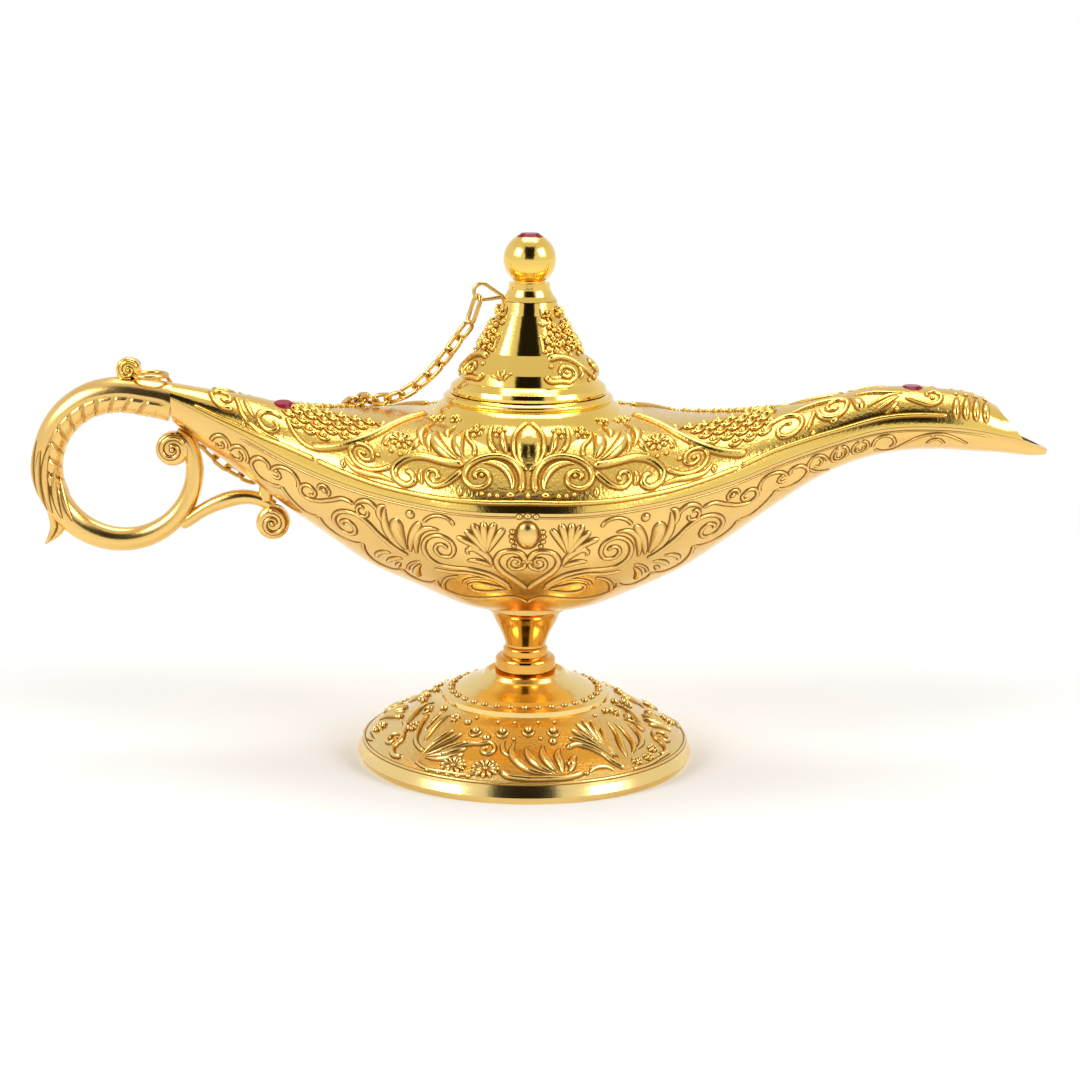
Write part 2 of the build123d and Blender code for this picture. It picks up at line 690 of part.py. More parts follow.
def make_chain_eye():
    """Wire bent round the finial's screw, out through the notch and into a drop-shaped eye."""
    end_x, end_z = eye_centre()
    exit_x = -lid_top_radius * 0.93
    reach = math.dist((exit_x, eye_wire_height), (end_x, end_z))
    toward = math.atan2(end_z - eye_wire_height, end_x - exit_x)
    half = math.acos(eye_loop_radius / reach)
    touch = [
        (end_x + eye_loop_radius * math.cos(toward + math.pi + side * half),
         end_z + eye_loop_radius * math.sin(toward + math.pi + side * half))
        for side in (-1, 1)
    ]
    far = (end_x + eye_loop_radius * math.cos(toward), end_z + eye_loop_radius * math.sin(toward))
    points = [Vector(x, 0, z) for x, z in ((exit_x, eye_wire_height), touch[0], far, touch[1])]
    leg = Line(points[0], points[1])
    bend = ThreePointArc(points[1], points[2], points[3])
    start = Plane(origin=points[0], z_dir=(points[1] - points[0]))
    drop = sweep(start * Circle(eye_wire_radius), path=Curve() + leg + bend)
    other = Plane(origin=points[0], z_dir=(points[3] - points[0]))
    drop += sweep(other * Circle(eye_wire_radius), path=Line(points[0], points[3]))
    drop += Pos(points[0]) * Sphere(eye_wire_radius)
    stub = Plane(origin=points[0], z_dir=(1, 0, 0)) * Circle(eye_wire_radius)
    drop += extrude(stub, -exit_x - eye_ring_radius)
    return drop + Pos(0, 0, eye_wire_height) * Torus(eye_ring_radius, eye_wire_radius)


def link(length, width, radius):
    """Oval wire link, long along X, flat in the XY plane."""
    end = width / 2 - radius
    straight = length / 2 - width / 2
    path = SlotOverall(2 * (straight + end), 2 * end).wire()
    start = path.position_at(0)
    along = path.tangent_at(0)
    return sweep(Plane(origin=start, z_dir=along) * Circle(radius), path=path)


def lay(solid, centre, along, roll):
    """Turn a link's length along a direction, rolled about it, and set it in place."""
    along = along.normalized()
    up = Vector(0, 1, 0) if abs(along.Y) < 0.9 else Vector(0, 0, 1)
    side = along.cross(up).normalized().rotate(Axis((0, 0, 0), along), roll)
    return Plane(origin=centre, x_dir=along, z_dir=side) * solid


def chain_places():
    """Centres and directions of the ordinary links, one pitch apart along the route."""
    route = Spline(*[Vector(*point) for point in chain_route])
    count = int(route.length // link_pitch)
    pitch = route.length / count
    places = []
    for index in range(count):
        middle = route.position_at((index + 0.5) / count)
        places.append((middle, route.tangent_at((index + 0.5) / count)))
    print("chain:", count, "links, pitch", round(pitch, 3), "length", round(route.length, 1))
    return places


def make_chain():
    """Ordinary links in three groups, as node names and lists of solids."""
    places = chain_places()
    one = link(link_length, link_width, wire_radius)
    groups = {}
    for node, first, last in chain_nodes_shares:
        chosen = []
        for index, (centre, along) in enumerate(places):
            if first <= index / len(places) < last:
                chosen.append(lay(one, centre, along, roll_first + (index % 2) * 90))
        groups[node] = chosen
    return groups


def make_chain_end_link():
    """Long link between the eye and the first ordinary link."""
    end_x, end_z = eye_centre()
    angle = math.radians(end_link_hang)
    inside = eye_loop_radius - eye_wire_radius - wire_radius - end_link_slack
    top = Vector(end_x, 0, end_z) + Vector(math.cos(angle), 0, math.sin(angle)) * inside
    first = Vector(*chain_route[0])
    along = (first - top).normalized()
    centre = top + along * (end_link_length / 2 - wire_radius)
    return lay(link(end_link_length, link_width, wire_radius), centre, along, roll_first + 90)


def ring_axis():
    """Axis of the lug's hole, as x, z: the ring lies just above the handle's crest."""
    path = loop_path()
    crest = path[1][1] + loop_radii(path)[1]
    return -arm_reach - lug_inset, crest + ring_wire_radius + ring_rest_gap


def make_chain_lug(loop):
    x, z = ring_axis()
    centre = (x - lug_radius * 0.38, z + lug_radius * 0.42)
    body = scroll_disc(centre, lug_radius, lug_width)
    foot = Pos(x - lug_radius * 0.38, 0, z - lug_radius * 0.45)
    body += foot * Box(lug_radius * 1.3, lug_width * 0.8, lug_radius * 1.3)
    body -= Pos(x, 0, z) * Rot(90, 0, 0) * Cylinder(lug_hole_radius, lug_width + overrun)
    return body - loop


def make_chain_ring():
    x, z = ring_axis()
    return Pos(x + ring_radius, 0, z) * Torus(ring_radius, ring_wire_radius)


def export(node, solids):
    if isinstance(solids, list):
        export_step(Compound(children=solids), f"parts/{node}.step")
    else:
        export_step(solids, f"parts/{node}.step")


os.makedirs("parts", exist_ok=True)
bowl_outer = make_bowl_outer()
loop = make_handle_loop(bowl_outer)
pieces = {
    "foot": make_foot(),
    "stem_collar": make_stem_collar(),
    "stem": make_stem(),
    "foot_screw": make_foot_screw(),
    "foot_washer": make_foot_washer(),
    "bowl": make_bowl(bowl_outer),
    "cover": make_cover(),
    "seam_pins": make_seam_pins(),
    "handle_loop": loop,
    "handle_bracket": make_handle_bracket(bowl_outer, loop),
    "chain_lug": make_chain_lug(loop),
    "chain_ring": make_chain_ring(),
    "handle_gem": gem(handle_gem_base()),
    "spout_gem": gem(spout_gem_base()),
    "lid_cone": make_lid_cone(),
    "lid_skirt": make_lid_skirt(),
    "finial_collar": make_finial_collar(),
    "finial_ball": make_finial_ball(),
    "finial_gem": make_finial_gem(),
    "finial_screw": make_finial_screw(),
    "finial_washer": make_finial_washer(),
    "chain_eye": make_chain_eye(),
    "chain_end_link": make_chain_end_link(),
}
pieces.update(make_chain())
for node, solids in pieces.items():
    export(node, solids)
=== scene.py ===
# %% [markdown]
# # A genie oil lamp, dressed in gold
#
# The measured model gives every piece its place and its motion. Here the same
# pieces get the finish of the real lamp: a casting, chased with scrolls and
# leaves, plated in yellow gold and polished, with three red stones and a chain.
# The sizes below are in millimetres, and each mesh is turned to metres at the end.

# %% Load the frame
import math

import bmesh
import bpy
import numpy as np
from mathutils import Matrix


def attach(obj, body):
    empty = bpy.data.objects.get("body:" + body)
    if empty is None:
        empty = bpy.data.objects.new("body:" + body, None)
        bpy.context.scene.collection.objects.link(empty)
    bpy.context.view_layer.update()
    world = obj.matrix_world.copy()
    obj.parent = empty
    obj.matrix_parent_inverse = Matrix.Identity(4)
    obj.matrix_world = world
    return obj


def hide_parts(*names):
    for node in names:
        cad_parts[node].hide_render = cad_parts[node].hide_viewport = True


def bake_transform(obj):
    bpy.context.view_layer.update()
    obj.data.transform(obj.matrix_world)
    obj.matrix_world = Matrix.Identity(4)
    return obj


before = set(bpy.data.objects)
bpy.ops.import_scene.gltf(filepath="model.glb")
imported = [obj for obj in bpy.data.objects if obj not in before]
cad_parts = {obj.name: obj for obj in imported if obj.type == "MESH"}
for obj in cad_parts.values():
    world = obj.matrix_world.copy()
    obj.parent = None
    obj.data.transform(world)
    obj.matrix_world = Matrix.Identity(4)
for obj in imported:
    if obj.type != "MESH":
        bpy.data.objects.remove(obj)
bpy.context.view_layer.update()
METRES = 0.001

# %% [markdown]
# ## Camera and table
#
# The photograph was taken from a little above, with the lens turned by less than
# a degree. A long lens keeps the round foot from looking wide. The table is a
# pale sheet that runs out into a white room, as on a product photographer's
# sweep, and it keeps the lamp's soft shadow.

# %% Camera
LENS, SENSOR_WIDTH = 83.43, 36.0  # millimetres
CAMERA_PLACE = (0.00293, -0.5378, 0.16856)
CAMERA_TILT, CAMERA_ROLL = 77.45, 0.7  # degrees

camera = bpy.data.objects.new("view_camera", bpy.data.cameras.new("view_camera"))
bpy.context.scene.collection.objects.link(camera)
camera.data.lens = LENS
camera.data.sensor_width = SENSOR_WIDTH
camera.data.clip_start = 0.01
place = Matrix.Translation(CAMERA_PLACE)
tilt = Matrix.Rotation(math.radians(CAMERA_TILT), 4, "X")
roll = Matrix.Rotation(math.radians(CAMERA_ROLL), 4, "Z")
camera.matrix_world = place @ tilt @ roll
bpy.context.scene.camera = camera
bpy.context.scene.view_settings.view_transform = "Standard"
print("camera at", [round(value, 3) for value in camera.location])

# %% [markdown]
# ## Finishes
#
# Gold plate over a polished casting is bright and warm. On the cover the buffing
# wheel has reached every high place and the plate is yellow; on the bowl and the
# foot it is warmer and a little softer, and the bowl's warmer colour is a painted
# reflection of the pale table below it. Beside the chased lines the gold is
# darkened, partly by tarnish where no wheel reaches and partly by painted shade in
# the grooves, and it is what makes the ornament readable. Each ornament mesh
# therefore carries a number called recess_tarnish_and_shade, 1 in the groove and 0
# on the high places, and the material darkens the gold by it.

# %% Colour and node helpers
def linear(hex_colour, alpha=1.0):
    """sRGB hex to linear: each channel c becomes ((c + 0.055) / 1.055) to the power 2.4."""
    channels = np.array([int(hex_colour[i:i + 2], 16) for i in (1, 3, 5)]) / 255
    light = np.where(channels <= 0.04045, channels / 12.92, ((channels + 0.055) / 1.055) ** 2.4)
    return (*light.tolist(), alpha)


def add_node(tree, kind, settings=(), **inputs):
    """Add one node, set its properties, and set or link its inputs by name."""
    node = tree.nodes.new(kind)
    for name, value in dict(settings).items():
        setattr(node, name, value)
    for name, value in inputs.items():
        socket = node.inputs[int(name[1:]) if name[1:].isdigit() else name.replace("_", " ")]
        if isinstance(value, bpy.types.NodeSocket):
            tree.links.new(value, socket)
        else:
            socket.default_value = value
    return node


def new_material(name):
    """An empty node material with its output node."""
    material = bpy.data.materials.new(name)
    material.use_nodes = True
    material.node_tree.nodes.clear()
    return material, material.node_tree, material.node_tree.nodes.new("ShaderNodeOutputMaterial")


def ramp(tree, value, start, end, low, high, kind="LINEAR"):
    """A number that runs from low, where the value is start, to high, where it is end."""
    return add_node(tree, "ShaderNodeMapRange", {"interpolation_type": kind},
                    _0=value, _1=start, _2=end, _3=low, _4=high).outputs[0]


def combine(tree, operation, *values):
    """One number from several, taken pair by pair: their product, or the largest of them."""
    result = values[0]
    for value in values[1:]:
        result = add_node(tree, "ShaderNodeMath", {"operation": operation}, _0=result, _1=value).outputs[0]
    return result


def blend_colours(tree, share, first, second):
    """The first colour where share is 0, the second where it is 1."""
    return add_node(tree, "ShaderNodeMix", {"data_type": "RGBA"}, _0=share, _6=first, _7=second).outputs[2]


# The stippled ground's share darkens the gold a little: tarnish and painted shade together.
STIPPLE = 0.2  # recess of a stippled ground: a touch of tarnish under the full grain


def gold_plate(name, high, deep, tarnish_and_shade_colour, roughness, grain_mm, grain_depth, blotch=0.35, ground=None):
    """Gold plate: high colour mottled with a deeper one, darkened by tarnish and painted shade in recesses
    and on a stippled ground.
    """
    material, tree, output = new_material(name)
    place = add_node(tree, "ShaderNodeTexCoord").outputs["Object"]
    cloud = add_node(tree, "ShaderNodeTexNoise", Vector=place, Scale=90.0, Detail=3.0)
    share = ramp(tree, cloud.outputs["Fac"], 0.35, 0.72, 0.0, blotch)
    plate = blend_colours(tree, share, linear(high), linear(deep))
    recess_tarnish_and_shade = add_node(tree, "ShaderNodeAttribute", {"attribute_name": "recess_tarnish_and_shade"}).outputs["Fac"]
    if ground:
        recess_tarnish_and_shade = ground(tree, place)
    colour = blend_colours(tree, recess_tarnish_and_shade, plate, linear(tarnish_and_shade_colour))
    grain = add_node(tree, "ShaderNodeTexNoise", Vector=place, Scale=1000.0 / grain_mm, Detail=2.0)
    punched = ramp(tree, recess_tarnish_and_shade, 0.0, STIPPLE, grain_depth, 1.0)
    bump = add_node(tree, "ShaderNodeBump", Height=grain.outputs["Fac"], Strength=punched, Distance=0.0001)
    shader = add_node(
        tree, "ShaderNodeBsdfPrincipled", Base_Color=colour, Metallic=1.0,
        Roughness=ramp(tree, recess_tarnish_and_shade, 0.0, 1.0, roughness, 0.5), Normal=bump.outputs[0])
    tree.links.new(shader.outputs[0], output.inputs["Surface"])
    return material


# %% Where the ground is stippled
# Heights in metres at which each ground starts and stops, as the ends of a short ramp.
FOOT_GROUND_START, FOOT_GROUND_STOP = (0.0040, 0.0045), (0.0128, 0.0134)
LID_GROUND_START, LID_GROUND_STOP = (0.0850, 0.0855), (0.0996, 0.1002)
PANEL_DIRECTION = (-0.227, -0.974, 0.0)  # from the axis to the middle of the lid's smooth panel
PANEL_EDGE = (0.80, 0.84)  # cosine of the angle from that direction at which the panel ends


def between_heights(tree, place, start, stop):
    """1 between two heights and 0 outside them."""
    height = add_node(tree, "ShaderNodeSeparateXYZ", Vector=place).outputs["Z"]
    above, below = ramp(tree, height, *start, 0.0, 1.0), ramp(tree, height, *stop, 1.0, 0.0)
    return combine(tree, "MULTIPLY", above, below)


def foot_band(tree, place):
    """Stippled on the foot's sloping band of relief, plain on its rim and dome."""
    inside = between_heights(tree, place, FOOT_GROUND_START, FOOT_GROUND_STOP)
    return combine(tree, "MULTIPLY", inside, STIPPLE)


def lid_sides(tree, place):
    """Stippled away from the smooth panel on the lid's front, by the direction round the axis."""
    flat = add_node(tree, "ShaderNodeVectorMath", {"operation": "MULTIPLY"}, _0=place, _1=(1.0, 1.0, 0.0))
    flat = add_node(tree, "ShaderNodeVectorMath", {"operation": "NORMALIZE"}, _0=flat.outputs[0])
    near = add_node(
        tree, "ShaderNodeVectorMath", {"operation": "DOT_PRODUCT"}, _0=flat.outputs[0], _1=PANEL_DIRECTION)
    side = ramp(tree, near.outputs["Value"], *PANEL_EDGE, STIPPLE, 0.0)
    return combine(tree, "MULTIPLY", side, between_heights(tree, place, LID_GROUND_START, LID_GROUND_STOP))


# %% The lamp's golds
# Buffed to a mirror on the cover, the neck and the finial: clear highlights, yellow body colour.
cover_gold = gold_plate("gold_plate_buffed", "#F8D470", "#F0C256", "#A27028", 0.14, 0.7, 0.25)
# The same plate on the lid's cone, stippled by a fine punch where the blossoms stand.
lid_gold = gold_plate(
    "gold_plate_buffed_lid", "#F8D470", "#F0C256", "#A27028", 0.10, 0.7, 0.1, ground=lid_sides)
# The bowl and the handle: satin, so reflections are broad and soft; their warmer colour is a painted
# reflection of the pale table below.
bowl_gold = gold_plate("gold_plate_satin_painted_reflection", "#F4CC7C", "#EDBD68", "#986C2E", 0.22, 1.4, 0.2)
# The foot, paler because its own reflections deepen it, and stippled on its band.
foot_gold = gold_plate("gold_plate_foot", "#F8DA90", "#F0C870", "#A27428", 0.17, 0.9, 0.2, 0.4)
foot_plate = gold_plate(
    "gold_plate_foot_stippled", "#F8DA90", "#F0C870", "#C8943A", 0.17, 0.8, 0.1, 0.4, foot_band)
# Collar and stem: turned smooth, the deepest amber, which is painted shade for the dim surroundings they
# reflect.
stem_gold = gold_plate("gold_plate_turned_painted_shade", "#EAB054", "#E0A040", "#6B430F", 0.10, 3.0, 0.1)
# Drawn wire of the chain, a little duller.
chain_gold = gold_plate("gold_plated_wire", "#DDB766", "#C39748", "#6A4A1A", 0.22, 0.8, 0.2)
print("golds:", [m.name for m in bpy.data.materials if m.name.startswith("gold")])

# %% Stone and steel
def plain_shader(name, pattern, first, second, **settings):
    """A surface whose two colours follow a pattern in object coordinates."""
    material, tree, output = new_material(name)
    place = add_node(tree, "ShaderNodeTexCoord").outputs["Object"]
    share = add_node(tree, *pattern[:2], Vector=place, **pattern[2]).outputs["Fac"]
    colour = blend_colours(tree, share, linear(first), linear(second))
    shader = add_node(tree, "ShaderNodeBsdfPrincipled", Base_Color=colour, **settings)
    tree.links.new(shader.outputs[0], output.inputs["Surface"])
    return material


# Red glass cut as a gem, foiled behind: deep ruby with a clear surface flash.
depths = ("ShaderNodeTexNoise", {}, {"Scale": 420.0, "Detail": 1.0})
stone = plain_shader("red_glass_gem", depths, "#5A0418", "#A80E34",
                     Metallic=0.0, Roughness=0.15, Specular_IOR_Level=0.12)
# Zinc-plated steel, turned: grey with fine rings from the lathe tool.
rings = ("ShaderNodeTexWave", {"bands_direction": "Z"}, {"Scale": 900.0, "Distortion": 0.5})
steel = plain_shader("zinc_plated_steel", rings, "#9A9CA0", "#B4B6BA", Metallic=1.0, Roughness=0.32)

# %% [markdown]
# ## Room and table
#
# Polished metal shows what stands round it. The room is white, with a dark
# opening on the photographer's side, and broad light panels hang on both sides
# and above. The world holds the room; only its colour towards the camera is pure
# white. The table is white far out, and near the lamp it is a matt sheet that
# takes the shadow.

# %% Room
SMOOTH = "SMOOTHSTEP"
DARK_SIDE = {"X": (-0.36, 0.36), "Y": (-2.0, -0.3), "Z": (0.10, 0.87)}  # a tall opening behind the camera
SOFT_EDGE = 0.03
CEILING_START, CEILING_FULL = 0.25, 0.8  # upward share of the direction where walls turn into ceiling
SOFT_LIGHT = 0.42


def between(tree, value, low, high):
    """1 between two limits and 0 outside them, with a soft step at each."""
    up = ramp(tree, value, low - SOFT_EDGE, low + SOFT_EDGE, 0.0, 1.0, SMOOTH)
    down = ramp(tree, value, high - SOFT_EDGE, high + SOFT_EDGE, 1.0, 0.0, SMOOTH)
    return combine(tree, "MULTIPLY", up, down)


def seen_rays(tree):
    """The kinds of ray, and 1 for those from the camera, off metal and through glass."""
    rays = add_node(tree, "ShaderNodeLightPath").outputs
    kinds = [rays[f"Is {kind} Ray"] for kind in ("Camera", "Glossy", "Transmission")]
    return rays, combine(tree, "MAXIMUM", *kinds)


world = bpy.data.worlds.new("studio_room")
bpy.context.scene.world = world
world.use_nodes = True
tree = world.node_tree
tree.nodes.clear()
place = add_node(tree, "ShaderNodeTexCoord")
parts = add_node(tree, "ShaderNodeSeparateXYZ", Vector=place.outputs["Generated"]).outputs
dark = combine(tree, "MULTIPLY", *(between(tree, parts[axis], *DARK_SIDE[axis]) for axis in "YXZ"))
# The ceiling away from the panels is dimmer than the walls.
ceiling = ramp(tree, parts["Z"], CEILING_START, CEILING_FULL, 0.0, 1.0, SMOOTH)
room = blend_colours(tree, ceiling, linear("#F0F0F0"), linear("#E4E1DC"))
room = blend_colours(tree, dark, room, linear("#1C1712"))
rays, look = seen_rays(tree)
plain = blend_colours(tree, rays["Is Camera Ray"], room, linear("#FFFFFF"))
soft = add_node(tree, "ShaderNodeBackground", Color=linear("#E6E6E6"), Strength=SOFT_LIGHT)
shown = add_node(tree, "ShaderNodeBackground", Color=plain, Strength=1.0)
mixed = add_node(tree, "ShaderNodeMixShader", _0=look, _1=soft.outputs[0], _2=shown.outputs[0])
add_node(tree, "ShaderNodeOutputWorld", Surface=mixed.outputs[0])


# %% Lamps
MIDDLE = (0.01, 0.0, 0.06)  # what the panels are turned to
PANEL_WATTS = 5.2


def light_panel(name, where, width, height):
    """A soft box at a point, turned so that its face looks at the lamp."""
    lamp = bpy.data.lights.new(name, "AREA")
    lamp.shape = "RECTANGLE"
    lamp.size, lamp.size_y, lamp.energy = width, height, PANEL_WATTS
    holder = bpy.data.objects.new(name, lamp)
    bpy.context.scene.collection.objects.link(holder)
    holder.matrix_world = Matrix.Translation(where) @ looking(np.array(MIDDLE) - np.array(where))


def looking(aim):
    """Turn whose -Z looks along a direction and whose Y stays as upright as it can."""
    back = -aim / np.linalg.norm(aim)
    side = np.cross((0.0, 0.0, 1.0), back)
    side /= np.linalg.norm(side)
    up = np.cross(back, side)
    return Matrix(np.stack([side, up, back], 1).tolist()).to_4x4()


light_panel("panel_left", (-0.75, -0.45, 0.62), 0.5, 0.5)
light_panel("panel_right", (0.78, -0.4, 0.6), 0.5, 0.5)
light_panel("panel_top", (0.02, 0.25, 1.0), 0.7, 0.5)
print("panels:", [lamp.name for lamp in bpy.data.lights])

# %% Table
NEAR, FAR, TABLE_SIDE = 0.10, 0.34, 6  # metres from the axis: matt up to near, plain white beyond far

table_material, tree, output = new_material("matt_white_table")
place = add_node(tree, "ShaderNodeTexCoord").outputs["Object"]
distance = add_node(tree, "ShaderNodeVectorMath", {"operation": "LENGTH"}, _0=place)
away = ramp(tree, distance.outputs["Value"], NEAR, FAR, 0.0, 1.0, SMOOTH)
fibre = add_node(tree, "ShaderNodeTexNoise", Vector=place, Scale=1800.0, Detail=2.0)
sheet = blend_colours(tree, fibre.outputs["Fac"], linear("#F2F1EF"), linear("#F8F7F5"))
matt = add_node(tree, "ShaderNodeBsdfDiffuse", Color=sheet, Roughness=0.4)
white = add_node(tree, "ShaderNodeEmission", Color=linear("#FFFFFF"), Strength=1.0)
share = combine(tree, "MULTIPLY", away, seen_rays(tree)[1])
mixed = add_node(tree, "ShaderNodeMixShader", _0=share, _1=matt.outputs[0], _2=white.outputs[0])
tree.links.new(mixed.outputs[0], output.inputs["Surface"])
table_mesh = bpy.data.meshes.new("table")
corners = [(x * TABLE_SIDE, y * TABLE_SIDE, 0) for x, y in ((-1, -1), (1, -1), (1, 1), (-1, 1))]
table_mesh.from_pydata(corners, [], [(0, 1, 2, 3)])
table = bpy.data.objects.new("table", table_mesh)
bpy.context.scene.collection.objects.link(table)
table_mesh.materials.append(table_material)
print("table", 2 * TABLE_SIDE, "m wide")

# %% [markdown]
# ## The body's own shape
#
# The lamp is a boat: a bowl below a seam and a cover above it, both drawn out
# into the spout and towards the handle. A modeller could sculpt it, but the
# measured model already knows its stations: how wide, how high and how deep the
# body is at a few distances from the foot's axis. The same numbers give a smooth
# surface here, and every scroll is laid on that surface by two lengths: x along
# the lamp, and the distance up or down from the seam.

# %% Helpers for points
def spots(x, y, z):
    """Points from their coordinates, which are spread to one common shape."""
    return np.stack(np.broadcast_arrays(x, y, z), -1)


def normed(vectors):
    """The same directions with length 1."""
    return vectors / np.maximum(np.linalg.norm(vectors, axis=-1, keepdims=True), 1e-9)


def round_angles(count):
    """Even steps round a circle, in radians."""
    return np.linspace(0, 2 * np.pi, count, endpoint=False)


def reach_of(points):
    """Length along a flat line from its first point to each of its points."""
    return np.concatenate([[0], np.cumsum(np.hypot(*np.diff(points, axis=0).T))])


def rise_from(value, start, run):
    """0 below start, rising evenly to 1 over a run."""
    return np.clip((value - start) / run, 0, 1)


# %% Stations of the body
ARM, SPOUT, HALF_WIDTH, DEPTH, RISE = 77.2, 113.0, 34.0, 28.0, 16.0
ARM_LIFT, SPOUT_LIFT, RIM, WALL, SEAM = 18.3, 14.6, 61.9, 1.6, 0.1
arm_rows = np.array([
    (1.00, 0.130, 1.000, 0.155, 0.215), (0.88, 0.185, 0.765, 0.330, 0.310),
    (0.78, 0.255, 0.580, 0.465, 0.389), (0.68, 0.355, 0.390, 0.570, 0.464),
    (0.57, 0.500, 0.240, 0.695, 0.568), (0.44, 0.665, 0.115, 0.840, 0.720),
    (0.30, 0.830, 0.040, 0.955, 0.835), (0.15, 0.960, 0.000, 0.995, 0.970)])
spout_rows = np.array([
    (0.00, 1.000, 0.000, 1.000, 1.000), (0.11, 0.960, 0.000, 1.000, 0.965),
    (0.21, 0.835, 0.050, 0.965, 0.840), (0.30, 0.695, 0.145, 0.815, 0.720),
    (0.39, 0.540, 0.300, 0.695, 0.560), (0.48, 0.410, 0.535, 0.560, 0.418),
    (0.57, 0.315, 0.750, 0.505, 0.293), (0.67, 0.255, 0.955, 0.480, 0.243),
    (0.78, 0.245, 1.000, 0.440, 0.214), (0.865, 0.215, 0.930, 0.410, 0.193),
    (0.905, 0.185, 0.860, 0.325, 0.164), (0.95, 0.138, 0.765, 0.270, 0.132),
    (0.975, 0.100, 0.690, 0.000, 0.100), (1.00, 0.040, 0.610, 0.000, 0.050)])
scale_arm = np.array([-ARM, HALF_WIDTH, ARM_LIFT, RISE, DEPTH])
scale_spout = np.array([SPOUT, HALF_WIDTH, SPOUT_LIFT, RISE, DEPTH])
station_rows = np.concatenate([arm_rows * scale_arm, spout_rows * scale_spout])
station_rows[:, 2] += RIM
shoulder_section = np.array([(1.0, 0.0), (0.955, 0.17), (0.83, 0.48), (0.64, 0.86), (0.35, 0.99), (0.0, 1.0)])
arm_section = np.array([(1.0, 0.0), (0.95, 0.31), (0.80, 0.60), (0.57, 0.82), (0.30, 0.955), (0.0, 1.0)])


def bend(knots, values, at):
    """Smooth curve through values at knots: cubic pieces, each slope that of its neighbours."""
    knots, values = np.asarray(knots, float), np.asarray(values, float)
    slopes = np.gradient(values, knots, axis=0, edge_order=2 if len(knots) > 2 else 1)
    left = np.clip(np.searchsorted(knots, at, side="right") - 1, 0, len(knots) - 2)
    span = knots[left + 1] - knots[left]
    t = (np.clip(at, knots[0], knots[-1]) - knots[left]) / span
    if values.ndim > 1:
        span, t = span[..., None], t[..., None]
    return ((2 * t**3 - 3 * t**2 + 1) * values[left] + (t**3 - 2 * t**2 + t) * span * slopes[left]
            + (3 * t**2 - 2 * t**3) * values[left + 1] + (t**3 - t**2) * span * slopes[left + 1])


def sizes_at(x):
    """Half width, rim height, rise and depth of the body at a distance x along it."""
    return np.moveaxis(bend(station_rows[:, 0], station_rows[:, 1:], np.asarray(x, float)), -1, 0)


def quarter_length(a, b):
    """Quarter ellipse: pi (a + b) (1 + 3 h / (10 + root(4 - 3 h))) / 4, with h = ((a - b) / (a + b))^2."""
    h = ((a - b) / (a + b)) ** 2
    return np.pi * (a + b) * (1 + 3 * h / (10 + np.sqrt(4 - 3 * h))) / 4


def bowl_at(x, down):
    """Front of the bowl: x, and millimetres below the seam round a half ellipse."""
    width, rim, rise, depth = sizes_at(x)
    angle = np.pi / 2 * down / quarter_length(width, depth)
    return spots(x, -width * np.cos(angle), rim - depth * np.sin(angle))


shoulder_knots = np.array([0, 0.077, 0.24, 0.457, 0.706, 1.0])
arm_knots = np.array([0, 0.159, 0.343, 0.55, 0.769, 1.0])


def section_at(x, share):
    """Cover section as shares of half width and rise: 0 at the front seam, 1 on the ridge, 2 behind."""
    blend = np.minimum(1.0, np.abs(x) / (0.42 * np.where(x > 0, SPOUT, ARM)))[..., None]
    pair = []
    for knots, points in ((shoulder_knots, shoulder_section), (arm_knots, arm_section)):
        both = np.concatenate([points, points[-2::-1] * [-1, 1]])
        pair.append(bend(np.concatenate([knots, 2 - knots[-2::-1]]), both, share))
    return pair[0] + (pair[1] - pair[0]) * blend


def cover_at(x, up):
    """Front of the cover: x, and millimetres above the seam along its section."""
    width, rim, rise, depth = sizes_at(x)
    across = section_at(x, up / quarter_length(width, rise))
    return spots(x, -width * across[..., 0], rim + SEAM + rise * across[..., 1])


print("body from x", station_rows[0, 0], "to", station_rows[-1, 0])

# %% [markdown]
# ## From grids of points to pieces
#
# Every piece below is one or more sheets of points in rows and columns. One
# helper joins neighbours with four-sided faces, closes a sheet into a ring or a
# tube where asked, and another puts all sheets of a piece in one mesh, merges
# the points that coincide at seams and poles, and turns the faces outwards.

# %% Mesh helpers
def sheet_faces(rows, columns, ring=False, first=0, closed_rows=False):
    """Quads joining point (i, j) with (i, j+1), (i+1, j+1) and (i+1, j)."""
    i = np.arange(rows if closed_rows else rows - 1)[:, None]
    j = np.arange(columns if ring else columns - 1)[None, :]
    i2, j2 = (i + 1) % rows, (j + 1) % columns
    quads = [i * columns + j, i * columns + j2, i2 * columns + j2, i2 * columns + j]
    return np.stack(np.broadcast_arrays(*quads), -1).reshape(-1, 4) + first


def capped(grid):
    """The grid with both end rows drawn together to their middle, which closes a tube."""
    ends = grid[[0, -1]].mean(1, keepdims=True) + 0 * grid[[0, -1]]
    return np.concatenate([ends[:1], grid, ends[1:]])


def turned(outline, around=144):
    """Carries radii and heights round the Z axis: x = r sin a, y = -r cos a, z = height."""
    outline, turn = np.asarray(outline, float), round_angles(around)[None, :]
    radius, height = outline[:, :1], outline[:, 1:]
    return spots(radius * np.sin(turn), -radius * np.cos(turn), height)


